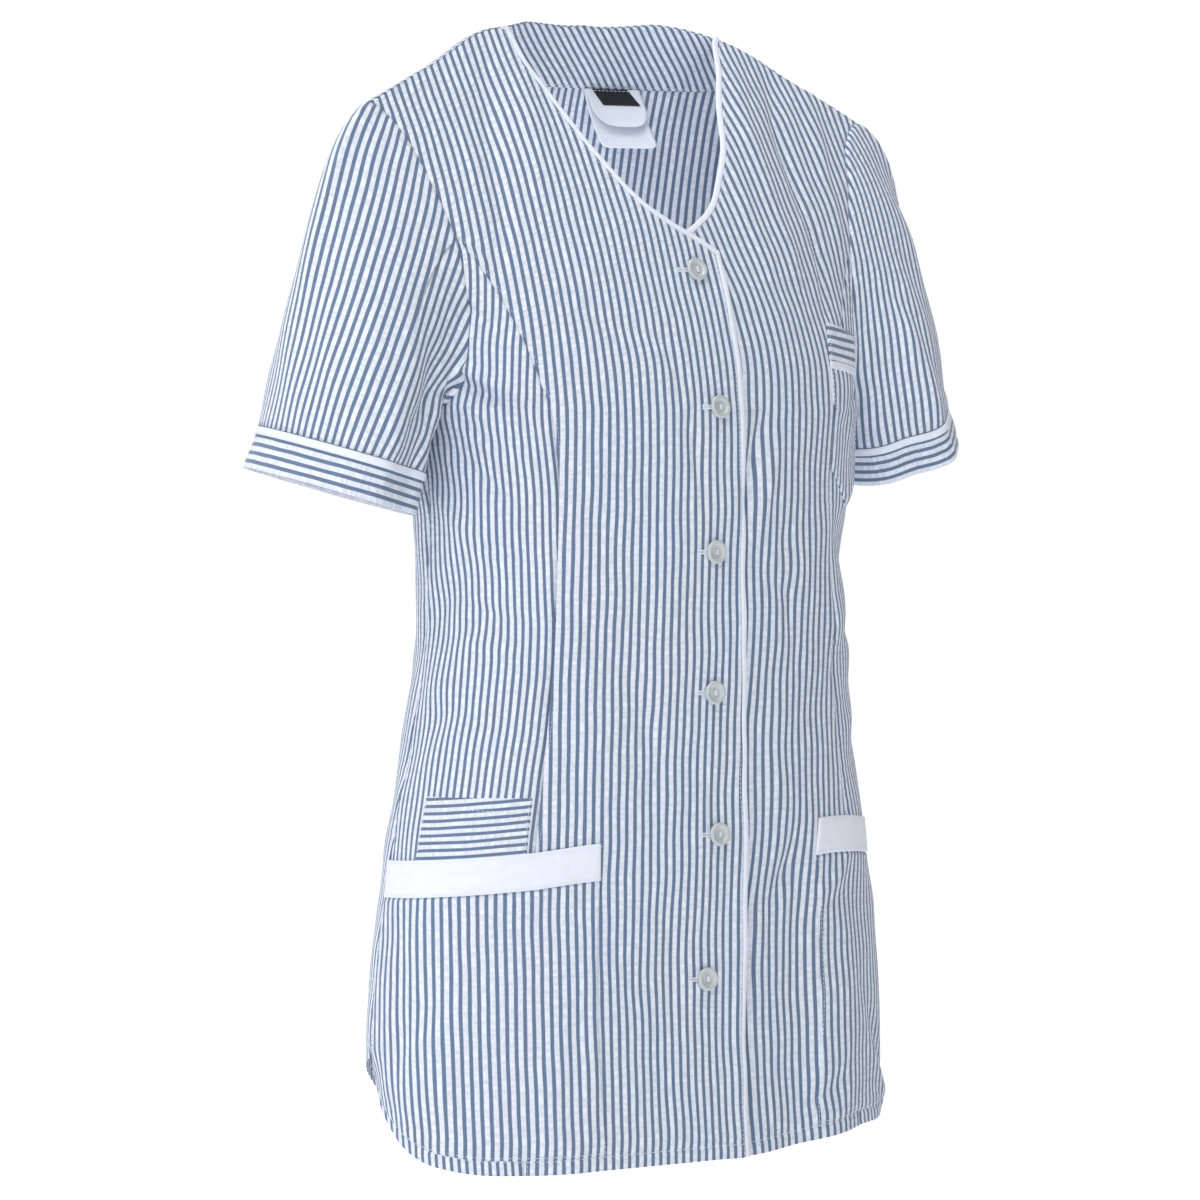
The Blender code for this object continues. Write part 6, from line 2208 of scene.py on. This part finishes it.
# ---------------------------------------------------------------- buttons
@dataclass
class Buttons:
    """Six two-hole buttons, their threads and their buttonholes.

    The table has a row for each: height, place across, turn in degrees, and how far its
    buttonhole reaches.  The profile is in shares of the radius and the thickness.
    """

    radius: float = 0.0077
    thick: float = 0.0030
    hole: float = 0.00085
    apart: float = 0.0017
    sides: int = 56
    table: tuple = (
        (-0.160, -0.0005, 7.0, 0.0138), (-0.249, 0.001, -5.0, 0.0132),
        (-0.3425, -0.003, 3.0, 0.0142), (-0.4335, -0.0045, 9.0, 0.0135),
        (-0.5255, -0.0015, -8.0, 0.0131), (-0.6190, -0.0085, 4.0, 0.0140))
    profile: tuple = (
        (0.0, 0.50), (0.30, 0.50), (0.50, 0.53), (0.58, 0.60), (0.63, 0.78), (0.70, 0.93),
        (0.80, 1.0), (0.90, 0.98), (0.97, 0.86), (1.0, 0.66), (1.0, 0.36), (0.96, 0.14),
        (0.86, 0.02), (0.70, 0.0), (0.0, 0.0))

    @staticmethod
    def seat(z: float, x: float) -> tuple:
        """Where a button sits, and its directions across, up and out.

        Args:
            z: its height.
            x: its place across.

        Returns:
            The place and the three directions.
        """
        level = z - BUST_Z
        if level > 0.0:
            levels = np.linspace(0.0, 1.0, 400)
            level = float(np.interp(z, Form.point(np.zeros(400), levels)[:, 2], levels))
        turn = np.array(float(Form.angle_at(x / 0.165)))
        normal = Form.normal(turn, np.array(level))
        place = Form.point(turn, np.array(level)) + normal * (LAP_LIFT + WALL / 2.0 + 0.0005)
        across = unit(np.cross(np.array([0.0, 0.0, 1.0]), normal))
        return place, across, np.cross(normal, across), normal

    def blank(self) -> bpy.types.Mesh:
        """Mesh of one button round the Z axis, with its two holes.

        Returns:
            The mesh.
        """
        work = bmesh.new()
        ring = np.arange(self.sides) * 2.0 * math.pi / self.sides
        loops = []
        for radius, height in self.profile[1:-1]:
            loops.append([work.verts.new((math.cos(t) * radius * self.radius,
                                          math.sin(t) * radius * self.radius,
                                          height * self.thick)) for t in ring])
        ends = [work.verts.new((0.0, 0.0, h * self.thick)) for h in (self.profile[0][1], 0.0)]
        for j in range(self.sides):
            k = (j + 1) % self.sides
            work.faces.new((ends[0], loops[0][j], loops[0][k]))
            for one, two in zip(loops, loops[1:]):
                work.faces.new((one[j], two[j], two[k], one[k]))
            work.faces.new((ends[1], loops[-1][k], loops[-1][j]))
        bmesh.ops.recalc_face_normals(work, faces=work.faces[:])
        body = bpy.data.meshes.new("button_blank")
        work.to_mesh(body)
        work.free()
        work = bmesh.new()
        for sign in (-1.0, 1.0):
            made = bmesh.ops.create_cone(work, cap_ends=True, segments=20, radius1=self.hole,
                                         radius2=self.hole, depth=0.012)
            bmesh.ops.translate(work, verts=made["verts"], vec=(0.0, sign * self.apart, 0.0))
        cutter_mesh = bpy.data.meshes.new("button_cutter")
        work.to_mesh(cutter_mesh)
        work.free()
        item, cutter = linked("button_blank", body), linked("button_cutter", cutter_mesh)
        modifier = item.modifiers.new("Holes", "BOOLEAN")
        modifier.object = cutter
        modifier.solver = "EXACT"
        made = evaluated(item, "button_blank")
        bpy.data.objects.remove(cutter)
        made.polygons.foreach_set("use_smooth", np.ones(len(made.polygons), bool))
        made.set_sharp_from_angle(angle=math.radians(50.0))
        return made

    def build(self) -> dict:
        """Make the buttons, their threads and their buttonholes.

        Returns:
            The objects by name.
        """
        made = {}
        blank = self.blank()
        count = len(blank.vertices)
        local = np.zeros(count * 3)
        blank.vertices.foreach_get("co", local)
        local = local.reshape(-1, 3)
        strands, satin, slits, ends = Mesher("button_threads"), [], [], []
        for number, (z, x, degrees, reach) in enumerate(self.table, start=1):
            spot, across, up, ahead = self.seat(z, x)
            turn = math.radians(degrees)
            side = across * math.cos(turn) + up * math.sin(turn)
            high = up * math.cos(turn) - across * math.sin(turn)
            mesh = blank.copy()
            points = spot + local[:, :1] * side + local[:, 1:2] * high + local[:, 2:] * ahead
            mesh.vertices.foreach_set("co", points.ravel())
            mesh.update()
            made.update(place("button_" + str(number), mesh, PEARL, True))
            self.thread(strands, spot, side, high, ahead)
            middle = spot - ahead * 0.0004
            level = up * 0.00085
            start, end = middle - across * reach, middle + across * 0.0015
            for sign in (-1.0, 1.0):
                satin.append(np.linspace(start + level * sign, end + level * sign, 30))
            ends.append(np.linspace(start - up * 0.0015, start + up * 0.0015, 8))
            slits.append(np.linspace(start + across * 0.0005, end, 8))
        made.update(strands.finish(THREAD, False))
        made.update(stitches("buttonhole_stitches", satin, Pitch=0.00050, Length=0.0014,
                             Radius=0.00026, Jitter=0.2, Fixed=True, Lay=(0.0, 0.0, 1.0)))
        made.update(stitches("buttonhole_bars", ends, Pitch=0.00040, Length=0.0013, Radius=0.00024,
                             Jitter=0.2, Fixed=True, Lay=(1.0, 0.0, 0.0)))
        made.update(stitches("buttonhole_slits", slits, BLUE_THREAD, Pitch=0.0012, Length=0.0018,
                             Radius=0.00016))
        return made

    def thread(self, mesher: Mesher, spot: np.ndarray, side: np.ndarray, high: np.ndarray,
               ahead: np.ndarray) -> None:
        """Add the strands that cross a button from hole to hole.

        Args:
            mesher: collects them.
            spot: middle of the button's back.
            side: direction across the button.
            high: direction from hole to hole.
            ahead: direction out of the button.
        """
        t = np.linspace(0.0, 1.0, 17)
        along = -np.cos(np.pi * t) * (self.apart + 0.0002)
        rise = self.thick * 0.5 + 0.00045 * np.sin(np.pi * t) ** 0.5 - 0.0012 * (2.0 * t - 1.0) ** 8
        turns = np.arange(7) * 2.0 * math.pi / 6.0
        for offset, lift in ((-0.00045, 0.0), (-0.00015, 0.00022), (0.00015, 0.00022),
                             (0.00045, 0.0)):
            line = (spot + side * offset * (1.0 + 0.3 * np.sin(np.pi * t))[:, None]
                    + high * along[:, None] + ahead * (rise + lift * np.sin(np.pi * t))[:, None])
            tangent = unit(np.gradient(line, axis=0))
            out = unit(np.cross(np.broadcast_to(side, tangent.shape), tangent))
            grid = np.array([line + (side * math.cos(a) + out * math.sin(a)) * 0.00021
                             for a in turns[:6]])
            mesher.tube(grid, np.zeros((7, len(t), 2)))


# ---------------------------------------------------------------- stage
@dataclass
class Stage:
    """Floor, light and camera; the angles are in degrees, the lens and its sensor in mm."""

    target: tuple = (0.0, -0.018, -0.375)
    inside: tuple = (0.0, 0.060, -0.02)
    azimuth: float = -37.0
    elevation: float = 1.0
    distance: float = 4.2
    lens: float = 190.9
    sensor: float = 36.0
    shift: float = -0.0233
    floor_z: float = -0.93
    floor_radius: float = 40.0
    floor_sides: int = 48

    def floor(self) -> None:
        """Add a plain pale floor under the tunic."""
        mesh = bpy.data.meshes.new("floor")
        turns = np.arange(self.floor_sides) * 2.0 * math.pi / self.floor_sides
        points = [(math.cos(t) * self.floor_radius, math.sin(t) * self.floor_radius, self.floor_z)
                  for t in turns]
        mesh.from_pydata(points, [], [list(range(self.floor_sides))])
        made = bpy.data.materials.new("PaleFloor")
        made.use_nodes = True
        shader = made.node_tree.nodes["Principled BSDF"]
        shader.inputs["Base Color"].default_value = (0.86, 0.87, 0.88, 1.0)
        shader.inputs["Roughness"].default_value = 0.95
        shader.inputs["Specular IOR Level"].default_value = 0.0
        shader.inputs["Emission Color"].default_value = (1.0, 1.0, 1.0, 1.0)
        shader.inputs["Emission Strength"].default_value = 0.39
        mesh.materials.append(made)
        linked("floor", mesh)

    def light(self) -> None:
        """Add the world's light and the soft lamps."""
        world = bpy.data.worlds.new("Studio")
        bpy.context.scene.world = world
        world.use_nodes = True
        g = Graph(world.node_tree)
        ray = g.node("ShaderNodeTexCoord").outputs["Generated"]
        aside = g.vector("DOT_PRODUCT", ray, (0.7986, -0.6018, 0.0))
        fade = g.node("ShaderNodeMapRange", {0: aside.outputs["Value"], 1: 0.11, 2: 0.58, 3: 1.02,
                                             4: 0.02})
        ground = world.node_tree.nodes["Background"]
        ground.inputs[0].default_value = (0.985, 0.992, 1.0, 1.0)
        g.feed(ground.inputs[1], fade.outputs[0])
        lamps = (("key", (-2.45, -2.15, 2.0), 1.6, 21.0), ("top", (-0.6, -0.7, 2.4), 1.4, 28.0),
                 ("inside", (-0.02, -0.020, -0.170), 0.09, 0.15))
        for name, spot, size, power in lamps:
            data = bpy.data.lights.new(name, "AREA")
            data.size = size
            data.energy = power
            item = linked(name, data)
            item.location = spot
            self.aim(item, self.inside if name == "inside" else self.target)
            item.visible_camera = False

    @staticmethod
    def aim(item: bpy.types.Object, target: Sequence[float]) -> None:
        """Turn an object's -Z towards a point."""
        line = Vector(target) - item.location
        item.rotation_euler = line.to_track_quat("-Z", "Y").to_euler()

    def camera(self) -> None:
        """Add the camera at the photograph's angle."""
        turn, rise = math.radians(self.azimuth), math.radians(self.elevation)
        away = np.array([math.sin(turn) * math.cos(rise), -math.cos(turn) * math.cos(rise),
                         math.sin(rise)])
        data = bpy.data.cameras.new("camera")
        data.lens = self.lens
        data.sensor_width = self.sensor
        data.shift_x = self.shift
        item = linked("camera", data)
        item.location = np.array(self.target) + away * self.distance
        self.aim(item, self.target)
        bpy.context.scene.camera = item

    def build(self) -> None:
        """Make the whole stage."""
        self.floor()
        self.light()
        self.camera()
        bpy.context.scene.view_settings.view_transform = "Standard"


def main() -> None:
    """Build every piece in order, then the stage."""
    torso = Torso()
    torso.shape()
    sleeves = [Sleeve(size, torso) for size in SLEEVE_SIZES]
    pieces = torso.build({sleeve.side: sleeve.mitre for sleeve in sleeves})
    for sleeve in sleeves:
        pieces.update(sleeve.build())
    for side in Side:
        pieces.update(Binding(side, torso.fronts[side.value]).build())
        pieces.update(HipPocket(side, torso, HIP_EDGES[side]).build())
    pieces.update(ChestPocket(torso).build())
    pieces.update(Neck(torso.back).build())
    pieces.update(Buttons().build())
    pieces.update(torso.build_stitches())
    log.info("%d pieces", len(pieces))
    Stage().build()


if __name__ == "__main__":
    logging.basicConfig(level=logging.INFO, format="%(message)s")
    main()
